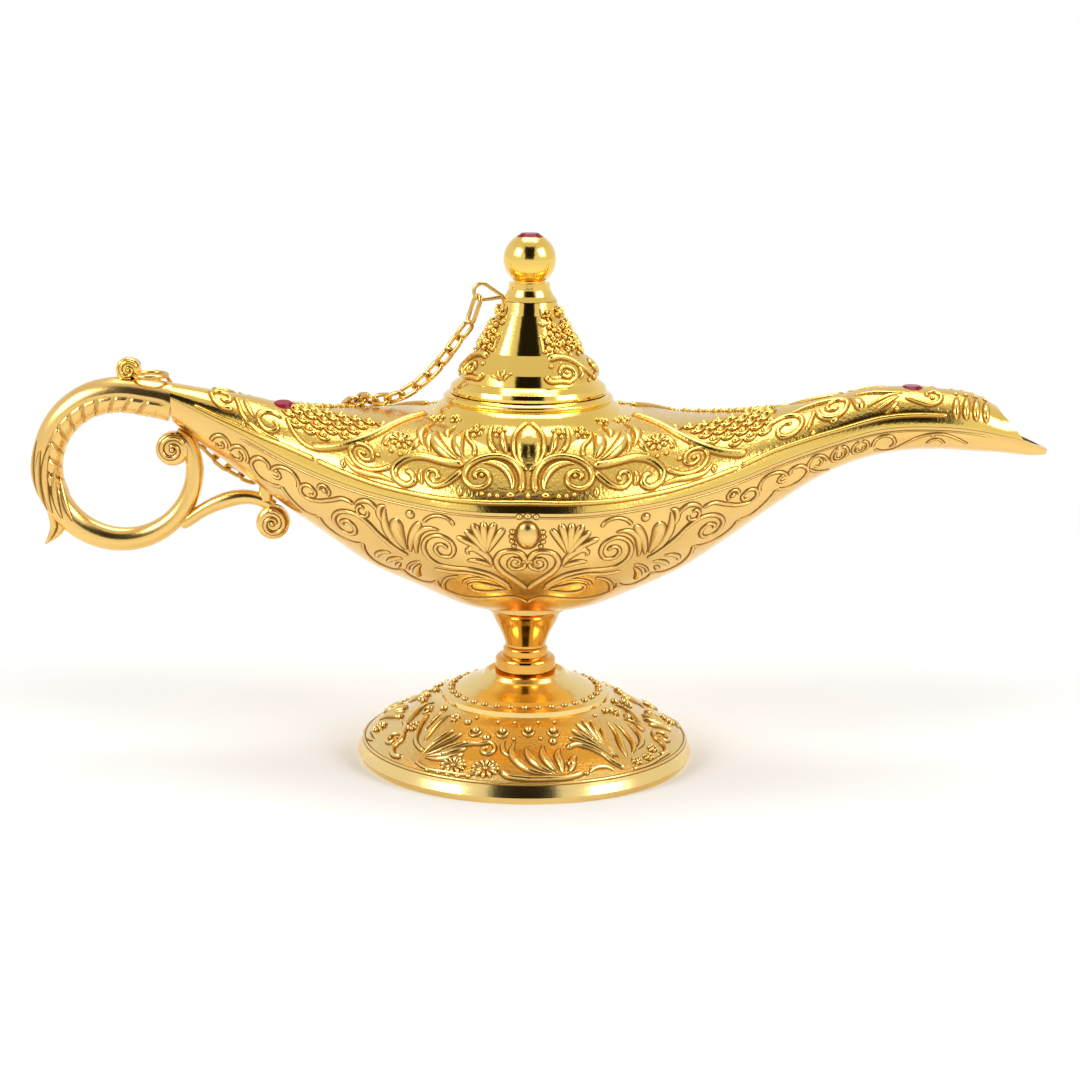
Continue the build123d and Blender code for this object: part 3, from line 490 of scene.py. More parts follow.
def make_piece(name, sheets, material, body, stands_for=(), cull=None):
    """One object from sheets (points, ring, recess); sheets may be stacks of equal sheets."""
    points, quads, recess_tarnish_and_shade, count = [], [], [], 0
    for sheet in sheets:
        grid, ring, dark = sheet[:3]
        looped = len(sheet) > 3 and sheet[3]
        stack = grid.reshape(-1, *grid.shape[-3:])
        rows, columns = stack.shape[1:3]
        one = sheet_faces(rows, columns, ring, closed_rows=looped)
        starts = count + np.arange(len(stack)) * rows * columns
        quads.append((one[None] + starts[:, None, None]).reshape(-1, 4))
        points.append(stack.reshape(-1, 3))
        recess_tarnish_and_shade.append(np.broadcast_to(dark, stack.shape[:3]).reshape(-1))
        count += len(stack) * rows * columns
    points, quads, recess_tarnish_and_shade = np.concatenate(points), np.concatenate(quads), np.concatenate(recess_tarnish_and_shade)
    if cull is not None:
        points, quads = cull(points, quads)
    mesh = bpy.data.meshes.new(name)
    mesh.vertices.add(len(points))
    mesh.vertices.foreach_set("co", (points * METRES).astype(np.float32).ravel())
    mesh.loops.add(quads.size)
    mesh.loops.foreach_set("vertex_index", quads.astype(np.int32).ravel())
    mesh.polygons.add(len(quads))
    mesh.polygons.foreach_set("loop_start", np.arange(0, quads.size, 4, dtype=np.int32))
    mesh.update(calc_edges=True)
    field = mesh.attributes.new("recess_tarnish_and_shade", "FLOAT", "POINT")
    field.data.foreach_set("value", recess_tarnish_and_shade.astype(np.float32))
    return finish_piece(name, mesh, material, body, stands_for)


def finish_piece(name, mesh, material, body, stands_for):
    """Merge points that coincide, turn faces outwards, smooth the shading and let the piece ride."""
    work = bmesh.new()
    work.from_mesh(mesh)
    bmesh.ops.remove_doubles(work, verts=work.verts, dist=2e-6)
    bmesh.ops.dissolve_degenerate(work, edges=work.edges, dist=1e-7)
    bmesh.ops.recalc_face_normals(work, faces=work.faces)
    work.to_mesh(mesh)
    work.free()
    mesh.shade_smooth()
    mesh.set_sharp_from_angle(angle=math.radians(55))
    mesh.materials.append(material)
    piece = bpy.data.objects.new(name, mesh)
    bpy.context.scene.collection.objects.link(piece)
    if body:
        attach(piece, body)
    if stands_for:
        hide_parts(*stands_for)
    print(f"{name}: {sum(len(p.vertices) - 2 for p in mesh.polygons)} triangles")
    return piece


# %% [markdown]
# ## Bowl and cover
#
# Both castings are thin shells. The bowl is a half ellipse at each station, and
# the cover a rounded ridge, so a section is drawn once outside and once inside,
# joined over the rim, and carried from the handle to the lip. The cover has a
# round hole for the neck: the faces inside it are left out and the points at its
# edge are drawn onto the circle.

# %% Bowl shell
HOLLOW_START, HOLLOW_END, HOLLOW_RUN = -72.0, 111.6, 5.0  # the hollow's ends in x, and its taper
LEAST = 0.0004  # keeps the end of a hollow from closing to nothing


def wall_of(size):
    """Wall thickness, thinner in small sections."""
    return np.minimum(WALL, size * 0.45)


def hollow_share(x):
    """1 along the bowl's hollow, falling almost to 0 at both of its ends by a square root."""
    return np.sqrt(np.clip(np.minimum((x - HOLLOW_START) / HOLLOW_RUN, (HOLLOW_END - x) / 1.5), LEAST, 1.0))


along = np.unique(np.concatenate([np.linspace(-ARM, 60, 172), np.linspace(60, SPOUT, 90)]))[:, None]
width, rim, rise, depth = sizes_at(along)
angle = np.linspace(0, np.pi, 66)[None, :]
hollow = hollow_share(along)
outer = spots(along, -width * np.cos(angle), rim - depth * np.sin(angle))
inner_width, inner_depth = (width - wall_of(width)) * hollow, (depth - wall_of(depth)) * hollow
inner = spots(along, -inner_width * np.cos(angle[:, ::-1]), rim - inner_depth * np.sin(angle[:, ::-1]))
shell = capped(np.concatenate([outer, inner], 1))
boss = turned([(0.5, 36.6), (9.6, 36.6), (9.5, 35.2), (9.25, 34.3), (9.2, 33.95), (0.5, 33.95)], 96)
make_piece("bowl_shell", [(shell, True, 0.0), (boss, True, 0.0, True)], bowl_gold, "lamp", ("bowl",))

# %% Cover shell
NECK_BORE, ABOVE_SEAM = 15.2, 66.0
MOUTH_RIDGE, MOUTH_RIM, SLANT_START = 0.90 * SPOUT, 0.95 * SPOUT, 92.0


def slanted(x, height_share):
    """Draws the last stretch back along the ridge, so that the mouth is cut on a slant."""
    pull = rise_from(x, SLANT_START, MOUTH_RIM - SLANT_START) * (MOUTH_RIM - MOUTH_RIDGE)
    return x - pull * height_share


share = np.linspace(0, 2, 99)[None, :]
along = np.unique(np.concatenate([np.linspace(-ARM, 60, 190), np.linspace(60, MOUTH_RIM, 80)]))[:, None]
grid_x = along + 0 * share
across = section_at(grid_x, share + 0 * along)
grid_x = slanted(grid_x, across[..., 1])
width, rim, rise, depth = sizes_at(grid_x)
outer = spots(grid_x, -width * across[..., 0], rim + SEAM + rise * across[..., 1])
open_part = np.clip((grid_x - HOLLOW_START) / HOLLOW_RUN, LEAST, 1.0) ** 0.5
inner_width, inner_rise = (width - wall_of(width)) * open_part, (rise - wall_of(rise)) * open_part
inner = spots(grid_x, -inner_width * across[..., 0], rim + SEAM + inner_rise * across[..., 1])[:, ::-1]
section = np.concatenate([outer, inner], 1)
shell = capped(section)[:-1]


def neck_hole(points, quads):
    """Leaves out faces wholly inside the bore, and draws the edge points onto its circle."""
    reach = np.hypot(points[:, 0], points[:, 1])
    inside = (reach < NECK_BORE) & (points[:, 2] > ABOVE_SEAM)
    kept = quads[~inside[quads].all(1)]
    points = points.copy()
    points[inside, :2] *= (NECK_BORE / np.maximum(reach[inside], 1e-6))[:, None]
    return points, kept


# The ground is stippled and painted a little darker, tarnish with painted shade, between the seam's band and
# the neck, but not at the ends of handle and spout.
climb = np.minimum(share, 2 - share) * quarter_length(*sizes_at(grid_x)[[0, 2]])
ground = STIPPLE * np.prod([
    rise_from(climb, 2.8, 0.5), rise_from(np.hypot(outer[..., 0], outer[..., 1]), 24.4, 0.8),
    rise_from(grid_x, -66.0, 2), rise_from(-grid_x, -98.0, 2)], axis=0)
ground = np.concatenate([ground, 0 * ground], 1)
ground = np.concatenate([0 * ground[:1], ground])
lip_pairs = np.stack([section[-1, :99], section[-1, 99:][::-1]])
make_piece(
    "cover_shell", [(shell, True, ground), (lip_pairs, False, 0.0)], cover_gold, "lamp", ("cover",),
    cull=neck_hole)

# %% Neck
neck_outline = [
    (15.2, 73.4), (15.2, 81.7), (15.4, 81.9), (16.8, 81.9), (17.3, 81.75), (17.95, 81.5), (18.42, 81.05),
    (18.5, 80.7), (18.3, 80.4), (18.15, 80.25), (18.5, 80.0), (19.2, 79.6), (19.9, 79.05), (20.5, 78.2),
    (21.3, 77.5), (22.4, 76.7), (23.4, 75.9), (24.6, 74.6), (25.4, 73.2), (24.0, 72.8), (18.0, 73.2)]
make_piece("neck_ring", [(turned(neck_outline), True, 0.0, True)], cover_gold, "lamp")

# %% [markdown]
# ## Chased ornament
#
# A chaser works scrolls up from the ground with punches, and the tool leaves a
# narrow groove on both sides of each raised line. So each scroll, petal or
# bead here is a small closed body laid on the surface: a smooth line in surface
# lengths, a half width that swells and tapers along it, a rounded top and a flat
# groove beside it. The flat groove is coloured dark, partly tarnish and partly
# painted shade. Modelling them as real relief, instead of a painted bump,
# gives them true highlights.

# %% Strokes and beads on a surface
# The flat groove beside each ridge is a thin sheet painted dark: tarnish together with painted shade.
LIFT = 0.04  # the groove's floor lies this far above the shell, so that it shows


def outward(where, u, v, inside):
    """Unit normal of a surface function, pointing away from a line inside the piece."""
    step = 0.05
    du = where(u + step, v) - where(u - step, v)
    dv = where(u, v + step) - where(u, v - step)
    normal = normed(np.cross(du, dv))
    facing = np.sum(normal * (where(u, v) - inside(u)), -1, keepdims=True)
    return normal * np.where(facing < 0, -1, 1)


def swelling(kind, t):
    """Share of the full half width at a share t of a stroke's length."""
    if kind == "leaf":
        return np.sin(np.pi * t) ** 0.75
    if kind == "petal":
        rounded = np.sqrt(np.clip(1 - ((t - 0.7) / 0.3) ** 2, 0, 1))
        return np.where(t < 0.7, np.sin(np.pi / 2 * t / 0.7) ** 0.9, rounded)
    return np.ones_like(t)


def stroke(where, inside, kind, half_start, half_end, height, groove, points):
    """A raised line: rounded across, round at its ends, with a flat groove on both sides."""
    points = np.asarray(points, float)
    reach = reach_of(points)
    count = int(np.clip(reach[-1] / 0.55, 9, 70))
    # Even steps, with closer ones at both ends where the stroke rounds off.
    ease = 0.5 - 0.5 * np.cos(np.pi * np.linspace(0, 1, count))
    t = 0.45 * ease + 0.55 * np.linspace(0, 1, count)
    course = bend(reach, points, t * reach[-1])
    run = normed(np.gradient(course, axis=0))
    side = np.stack([-run[:, 1], run[:, 0]], 1)
    half = (half_start + (half_end - half_start) * t) * swelling(kind, t)
    ends = np.minimum(t, 1 - t) * reach[-1]
    whole = np.sqrt(np.clip(1 - (1 - np.minimum(ends / (half + groove + 1e-6), 1)) ** 2, 0, 1))
    body = np.sqrt(np.clip(1 - (1 - np.clip((ends - groove) / (half + 1e-6), 0, 1)) ** 2, 0, 1))
    edge, raised = (half + groove) * whole, half * body
    top = height * body * np.clip(half / max(half_start, half_end), 0.25, 1)
    spread = np.stack([-edge, -edge, -raised, -0.8 * raised, -0.42 * raised, 0 * edge,
                       0.42 * raised, 0.8 * raised, raised, edge, edge], 1)
    dome = np.array([0, 0, 0, 0.52, 0.88, 1, 0.88, 0.52, 0, 0, 0])
    rise = dome[None] * top[:, None] + LIFT * whole[:, None]
    rise[:, [0, -1]] = -0.2
    u, v = np.moveaxis(course[:, None, :] + spread[..., None] * side[:, None, :], -1, 0)
    # Share of darkening across the stroke, painted shade with tarnish: full on the flat groove, none on the
    # crown.
    dark = np.array([1, 1, 1, 0.5, 0.05, 0, 0.05, 0.5, 1, 1, 1])
    return where(u, v) + outward(where, u, v, inside) * rise[..., None], True, dark[None, :]


def beads(where, inside, rows, groove=0.22):
    """Rounded drops: u, v, half sizes along u and v, height. Rings of points from the top outwards."""
    rows = np.asarray(rows, float)[:, :, None, None]
    shares = np.array([0, 0.38, 0.7, 0.9, 1.0, 1.0, 1.0])[None, :, None]
    turn = round_angles(14)[None, None, :]
    flat = np.array([0, 0, 0, 0, 0, 1, 1])[None, :, None] * groove
    u = rows[:, 0] + (rows[:, 2] * shares + flat) * np.cos(turn)
    v = rows[:, 1] + (rows[:, 3] * shares + flat) * np.sin(turn)
    up = rows[:, 4] * np.array([1, 0.92, 0.7, 0.38, 0, 0, 0])[None, :, None] + LIFT + 0 * turn
    up[:, -1] = -0.2
    # Painted shade with tarnish round the foot of each drop and on its groove.
    dark = np.array([0, 0, 0.1, 0.5, 1, 1, 1])[None, :, None]
    return where(u, v) + outward(where, u, v, inside) * up[..., None], True, dark


def relief(where, inside, rows, *bead_sets):
    """All strokes and beads of one surface; each set is rows of beads and, if need be, their groove."""
    return [stroke(where, inside, *row) for row in rows] + [beads(where, inside, *one) for one in bead_sets]


def flipped(sheets, signs=(1, -1, 1)):
    """The same sheets with these signs on their coordinates: behind the lamp, if nothing else is said."""
    return [(grid * np.array(signs), *rest) for grid, *rest in sheets]


def make_both(name, front, material):
    """An ornament in front and the same one behind, as two pieces of the lamp."""
    make_piece(f"{name}_front", front, material, "lamp")
    make_piece(f"{name}_back", flipped(front), material, "lamp")


def mirrored(rows, centre):
    """Strokes repeated on the other side of an upright line at u = centre."""
    return list(rows) + [(*row[:-1], [(2 * centre - u, v) for u, v in row[-1]]) for row in rows]


def mirrored_beads(rows, centre):
    """Beads repeated on the other side of an upright line at u = centre."""
    return list(rows) + [(2 * centre - row[0], *row[1:]) for row in rows]


def rim_line(u):
    """A line inside the body at its rim, that the normals of bowl and cover point away from."""
    return spots(u, 0, sizes_at(u)[1])


def on_axis(height):
    """A point on the lamp's axis, that the normals of a round piece point away from."""
    return lambda u: spots(0 * u, 0, height)


# %% Strokes by kind
def line(half_start, half_end, height, groove, *points):
    """A stroke that keeps its width or tapers evenly."""
    return "line", half_start, half_end, height, groove, list(points)


def leaf(half, height, groove, *points):
    """A stroke that is widest in its middle."""
    return "leaf", half, half, height, groove, list(points)


def petal(half, height, groove, *points):
    """A stroke that is widest near its far, round end."""
    return "petal", half, half, height, groove, list(points)


# %% Motifs that come back
def rosette(u, v, radius, count, height, turn=0.0, stretch=1.0, groove=0.16, plump=2.1,
            reaches=(0.22, 0.6, 1.0)):
    """Petals round a point: half width plump / count of the radius, and points at shares of the radius."""
    rows, half = [], min(plump * radius / count, 0.42 * radius)
    for index in range(count):
        angle = turn + 2 * math.pi * index / count
        rows.append(petal(half, height, groove, *[
            (u + stretch * radius * share * math.cos(angle), v + radius * share * math.sin(angle))
            for share in reaches]))
    return rows


def fan(base, tips, half, height, bow=0.12, groove=0.2):
    """Petals that spread from one point to a row of tips, each a little bowed."""
    rows, middle = [], (len(tips) - 1) / 2
    for index, tip in enumerate(tips):
        step = (tip[0] - base[0], tip[1] - base[1])
        lean = bow * (index - middle) / max(middle, 1)
        start = (base[0] + 0.12 * step[0], base[1] + 0.12 * step[1])
        bowed = (base[0] + 0.55 * step[0] - lean * step[1], base[1] + 0.55 * step[1] + lean * step[0])
        rows.append(petal(half, height, groove, start, bowed, tip))
    return rows


def curl(u, v, radius, turns, start, half, height, hand=1, groove=0.2, tail=()):
    """A scroll that winds in to a point, with a tail of points led into it."""
    count = int(turns * 9)
    points = [
        (u + radius * (1 - 0.8 * k / count) * math.cos(start + hand * 2 * math.pi * turns * k / count),
         v + radius * (1 - 0.8 * k / count) * math.sin(start + hand * 2 * math.pi * turns * k / count))
        for k in range(count + 1)]
    return line(half, half * 0.7, height, groove, *tail, *points)


def cup(u, v, half, height, groove, tip, flank, low):
    """A crescent under a point, by how far its tips, its flanks and its lowest point lie from there."""
    return line(half, half, height, groove, (u - tip[0], v + tip[1]), (u - flank[0], v - flank[1]),
                (u, v - low), (u + flank[0], v - flank[1]), (u + tip[0], v + tip[1]))


CENTRE = 0.35  # the ornament's own middle line, in x

# %% [markdown]
# ### The bowl's ornament
#
# Flat scrollwork: a heart with two curls under an oval drop, palmettes and big
# C-scrolls beside it, acanthus and long S-scrolls further out, closed below by a
# scalloped border. Everything is drawn for the handle's side and repeated about
# the middle line; the spout adds a row of rings. Each row below names its kind,
# then the half width, the height, the groove and the points, as x and
# millimetres below the seam. A line has a half width for each of its ends.

# %% Bowl strokes
R, H, G = 0.34, 0.26, 0.24  # usual half width, height and groove of a chased line
bowl_strokes = [
    line(0.62, 0.55, 0.5, G, (0.1, 12.2), (-0.5, 10.6), (-1.7, 9.5), (-3.4, 9.3), (-5.2, 10.0),
         (-6.1, 11.7), (-5.9, 13.4), (-4.9, 15.1), (-3.2, 17.0), (-1.4, 18.9), (0.25, 21.4)),
    line(0.42, 0.3, 0.36, G, (-0.1, 12.4), (-0.6, 14.0), (-2.0, 14.5), (-3.3, 13.7), (-3.4, 12.2),
         (-2.4, 11.2), (-1.3, 11.7), (-1.4, 12.9), (-2.2, 12.9)),
    petal(0.75, 0.5, G, (-8.2, 11.0), (-10.6, 8.3), (-13.0, 6.9), (-14.6, 6.5)),
    petal(0.85, 0.55, G, (-8.2, 10.4), (-9.9, 7.3), (-11.5, 5.4), (-12.8, 4.4)),
    petal(0.9, 0.6, G, (-8.2, 10.0), (-9.3, 6.4), (-10.3, 4.2), (-11.2, 2.6)),
    petal(0.85, 0.65, G, (-8.1, 9.8), (-8.5, 6.2), (-8.7, 4.0), (-8.8, 2.0)),
    petal(0.85, 0.6, G, (-8.0, 9.8), (-7.5, 6.2), (-7.0, 4.0), (-6.4, 2.1)),
    petal(0.75, 0.5, G, (-7.8, 10.0), (-6.6, 7.0), (-5.5, 5.0), (-4.3, 3.4)),
    leaf(0.8, 0.45, G, (-7.0, 13.6), (-7.6, 11.6), (-9.0, 10.0), (-11.2, 9.0), (-12.2, 9.9), (-11.6, 10.9)),
    leaf(0.6, 0.4, G, (-6.9, 14.0), (-8.6, 12.8), (-10.6, 12.3), (-12.4, 12.7)),
    line(0.5, 0.34, 0.42, G, (-3.4, 20.6), (-5.6, 17.8), (-8.2, 15.9), (-11.5, 15.1), (-15.2, 15.4),
         (-18.4, 15.2), (-20.7, 13.3), (-21.4, 10.3), (-20.3, 7.8), (-17.9, 6.8), (-15.7, 7.8),
         (-14.9, 10.0), (-15.8, 12.1), (-17.8, 12.3), (-18.9, 10.8), (-18.3, 9.3), (-17.0, 9.2),
         (-16.5, 10.3)),
    leaf(0.7, 0.4, G, (-22.9, 13.5), (-23.0, 10.0), (-22.4, 7.2), (-20.6, 5.6), (-17.8, 5.6)),
    line(0.3, 0.3, 0.3, G, (-14.9, 3.9), (-15.8, 2.5), (-18.2, 1.9), (-20.4, 2.9), (-21.4, 4.3)),
    petal(0.9, 0.5, G, (-24.3, 13.4), (-24.0, 9.4), (-23.0, 6.2), (-21.9, 4.1)),
    petal(1.45, 0.6, G, (-25.0, 13.0), (-26.6, 9.6), (-27.2, 7.0), (-26.9, 4.4)),
    petal(0.55, 0.75, 0.12, (-25.2, 11.6), (-26.4, 8.6), (-26.9, 6.0)),
    leaf(0.85, 0.5, G, (-25.6, 13.2), (-28.6, 9.6), (-29.8, 6.0), (-29.6, 2.6)),
    leaf(0.55, 0.4, G, (-30.0, 6.6), (-31.0, 4.4), (-30.6, 2.6), (-29.2, 2.2)),
    line(0.3, 0.3, 0.3, G, (-33.4, 4.4), (-33.8, 6.1), (-35.2, 6.2), (-35.8, 4.9), (-34.9, 3.9),
         (-34.1, 4.6)),
    leaf(0.5, 0.35, G, (-36.3, 4.3), (-35.0, 2.7), (-33.0, 2.3), (-31.6, 3.3), (-31.2, 5.0)),
    line(0.5, 0.36, 0.42, G, (-24.8, 14.7), (-28.0, 12.6), (-31.2, 9.9), (-34.0, 7.2), (-37.3, 6.3),
         (-40.2, 7.7), (-41.1, 10.3), (-39.9, 12.6), (-37.9, 13.0), (-36.4, 11.7), (-36.6, 9.8),
         (-38.0, 8.9), (-39.3, 9.9), (-38.9, 11.0)),
    line(0.4, 0.3, 0.36, G, (-36.4, 4.0), (-38.6, 3.5), (-41.4, 4.9), (-44.6, 6.6), (-46.9, 7.1),
         (-48.4, 6.1), (-48.0, 4.3), (-46.2, 3.6), (-45.0, 4.6), (-45.5, 5.8), (-46.6, 5.6)),
    line(0.26, 0.26, 0.24, G, (-44.2, 3.9), (-43.9, 2.4), (-42.6, 2.1), (-41.8, 3.2), (-42.5, 4.4)),
    leaf(0.55, 0.4, G, (-31.8, 19.0), (-31.6, 16.8), (-30.2, 15.4), (-28.4, 15.2)),
    leaf(0.6, 0.45, G, (-29.6, 19.8), (-28.8, 17.8), (-27.4, 16.6), (-25.9, 16.2)),
    leaf(0.5, 0.4, G, (-27.3, 20.9), (-27.2, 19.3), (-26.6, 17.9)),
    petal(0.75, 0.55, G, (-22.0, 16.6), (-23.0, 18.6), (-23.2, 20.6), (-22.6, 22.8)),
    line(0.26, 0.26, 0.24, G, (-25.0, 20.6), (-24.8, 18.4), (-23.8, 16.8), (-22.0, 15.9)),
    line(0.4, 0.4, 0.3, G, (-19.4, 17.2), (-15.6, 17.1), (-11.2, 16.4), (-7.8, 17.4), (-4.9, 19.6),
         (-3.0, 21.8)),
    line(0.4, 0.3, 0.3, G, (-17.2, 25.2), (-17.3, 21.8), (-16.2, 19.4), (-13.8, 18.2)),
    line(0.36, 0.36, 0.34, G, (-4.4, 21.5), (-7.2, 20.2), (-9.8, 19.6), (-11.7, 20.4), (-11.5, 22.1),
         (-9.4, 22.9), (-6.6, 22.6), (-3.9, 21.8)),
    line(0.24, 0.24, 0.2, 0.3, (-5.6, 18.2), (-8.4, 17.8), (-10.8, 18.0), (-12.6, 19.2), (-13.0, 21.0)),
    # Scalloped border below, arc by arc, from the middle to the handle's side.
    line(R, R, H, G, (0.3, 28.2), (-0.7, 26.2), (-2.9, 24.9), (-6.2, 25.4), (-11.0, 26.8), (-15.6, 26.7),
         (-18.2, 24.8), (-18.9, 21.8)),
    line(R, R, H, G, (-18.9, 22.2), (-19.9, 24.0), (-22.4, 25.1), (-24.7, 23.8), (-26.3, 20.9)),
    line(R, R, H, G, (-26.3, 21.2), (-28.9, 22.8), (-31.6, 22.1), (-34.1, 18.9), (-34.8, 14.5)),
    line(R, R, H, G, (-34.8, 14.7), (-38.6, 16.1), (-42.0, 15.2), (-44.6, 11.4)),
]
spread_strokes = [
    line(R, R, H, G, (-44.6, 11.6), (-47.4, 12.2), (-50.4, 10.2), (-52.8, 6.9)),
    line(R, R, H, G, (-52.8, 7.0), (-55.4, 8.2), (-58.2, 7.6), (-59.5, 5.0), (-58.6, 3.5), (-57.0, 2.7),
         (-55.7, 3.0), (-55.6, 4.6)),
    line(0.3, 0.3, 0.26, G, (-55.0, 4.3), (-53.6, 2.7), (-51.4, 2.0), (-49.7, 2.4), (-48.8, 3.8),
         (-49.1, 5.8)),
    line(0.28, 0.24, 0.24, G, (-55.0, 5.2), (-53.6, 5.4), (-52.9, 4.4), (-53.7, 3.6), (-54.4, 4.3)),
]
handle_strokes = [
    line(0.26, 0.26, 0.22, G, (-60.8, 5.9), (-60.2, 4.0), (-61.1, 2.6), (-62.9, 3.0), (-64.6, 5.0)),
    line(0.24, 0.24, 0.2, G, (-64.4, 5.3), (-63.2, 6.2), (-61.8, 5.6), (-61.7, 4.4), (-62.8, 4.0)),
    line(0.26, 0.26, 0.22, G, (-64.8, 5.0), (-64.3, 3.2), (-65.4, 2.2), (-67.3, 2.9), (-68.6, 5.0)),
    line(0.22, 0.22, 0.2, G, (-67.6, 4.4), (-66.6, 5.2), (-65.7, 4.4), (-66.4, 3.5)),
]


def ring_line(x, down, across, deep, gap=0.0):
    """Points of an almost closed oval, for engraved rings."""
    turn = np.linspace(-0.5 * np.pi + gap, 1.5 * np.pi - gap, 11)
    return [(x + across * math.cos(a), down + deep * math.sin(a)) for a in turn]


spout_strokes = [
    line(0.26, 0.26, 0.22, G, (60.3, 5.2), (60.2, 3.2), (61.3, 1.8), (63.2, 2.4), (64.5, 4.6)),
    line(0.24, 0.24, 0.2, G, (60.4, 4.8), (62.4, 7.0), (65.4, 8.6)),
    line(0.22, 0.22, 0.18, G, (61.3, 4.6), (62.6, 5.0), (63.2, 3.9), (62.4, 3.0)),
    line(0.24, 0.24, 0.2, G, *ring_line(67.0, 3.7, 1.8, 2.1)),
    line(0.2, 0.2, 0.16, G, *ring_line(66.9, 3.8, 0.9, 1.2, 0.5)),
    line(0.24, 0.24, 0.2, G, *ring_line(71.5, 3.6, 1.7, 1.8)),
    line(0.2, 0.2, 0.16, G, *ring_line(71.5, 3.9, 0.8, 0.8, 0.5)),
    line(0.26, 0.26, 0.22, G, (74.3, 4.6), (74.6, 2.6), (76.3, 1.7), (78.3, 2.3), (79.0, 4.2), (77.9, 5.8)),
    line(0.24, 0.24, 0.2, G, (74.8, 5.0), (76.4, 6.7), (78.6, 6.9), (81.0, 5.0), (83.8, 2.9), (86.6, 1.9),
         (89.2, 1.8), (92.0, 2.7), (95.0, 4.3)),
    line(0.24, 0.24, 0.2, G, (86.0, 5.4), (86.8, 3.8), (88.0, 3.3), (89.2, 4.0), (89.7, 5.2)),
]
all_strokes = mirrored(bowl_strokes + spread_strokes, CENTRE) + handle_strokes + spout_strokes
rim_x = np.linspace(-62.0, 100.0, 40)
all_strokes.append(line(0.16, 0.16, 0.1, 0.12, *[(x, 0.95) for x in rim_x]))
bowl_beads = mirrored_beads([
    (-2.75, 4.3, 0.55, 0.5, 0.45), (-2.9, 5.5, 0.55, 0.5, 0.45), (-2.8, 6.7, 0.5, 0.5, 0.4),
    (-2.4, 7.9, 0.45, 0.45, 0.4), (-1.4, 0.75, 0.6, 0.55, 0.45), (-24.2, 2.9, 0.85, 0.95, 0.45),
    (-43.0, 3.3, 0.5, 0.5, 0.3)], CENTRE)
bowl_beads += [(CENTRE, 0.6, 0.7, 0.6, 0.55), (87.0, 2.2, 0.45, 0.4, 0.25)]
oval_drop = [(CENTRE, 5.2, 2.35, 3.3, 1.25)]
make_both("bowl_ornament", relief(bowl_at, rim_line, all_strokes, (bowl_beads,), (oval_drop, 0.4)), bowl_gold)

# %% [markdown]
# ### The cover's ornament
#
# Deeper work: the plain pointed medallion in the middle, great C-scrolls round
# it, S-scrolls and rosettes towards both sides, and clusters of blossom near the
# handle and the spout, over a matted ground. A plain band runs along the seam.

# %% Cover strokes
def shoulder_at(x, up):
    """The cover with the neck's flare on it: the higher of both at the same place."""
    point = cover_at(x, up)
    radius = np.hypot(point[..., 0], point[..., 1])
    flare = np.interp(radius, [20.5, 21.3, 22.4, 23.4, 24.6, 25.4, 25.5],
                      [78.2, 77.5, 76.7, 75.9, 74.6, 73.2, 0.0])
    point[..., 2] = np.maximum(point[..., 2], flare)
    return point


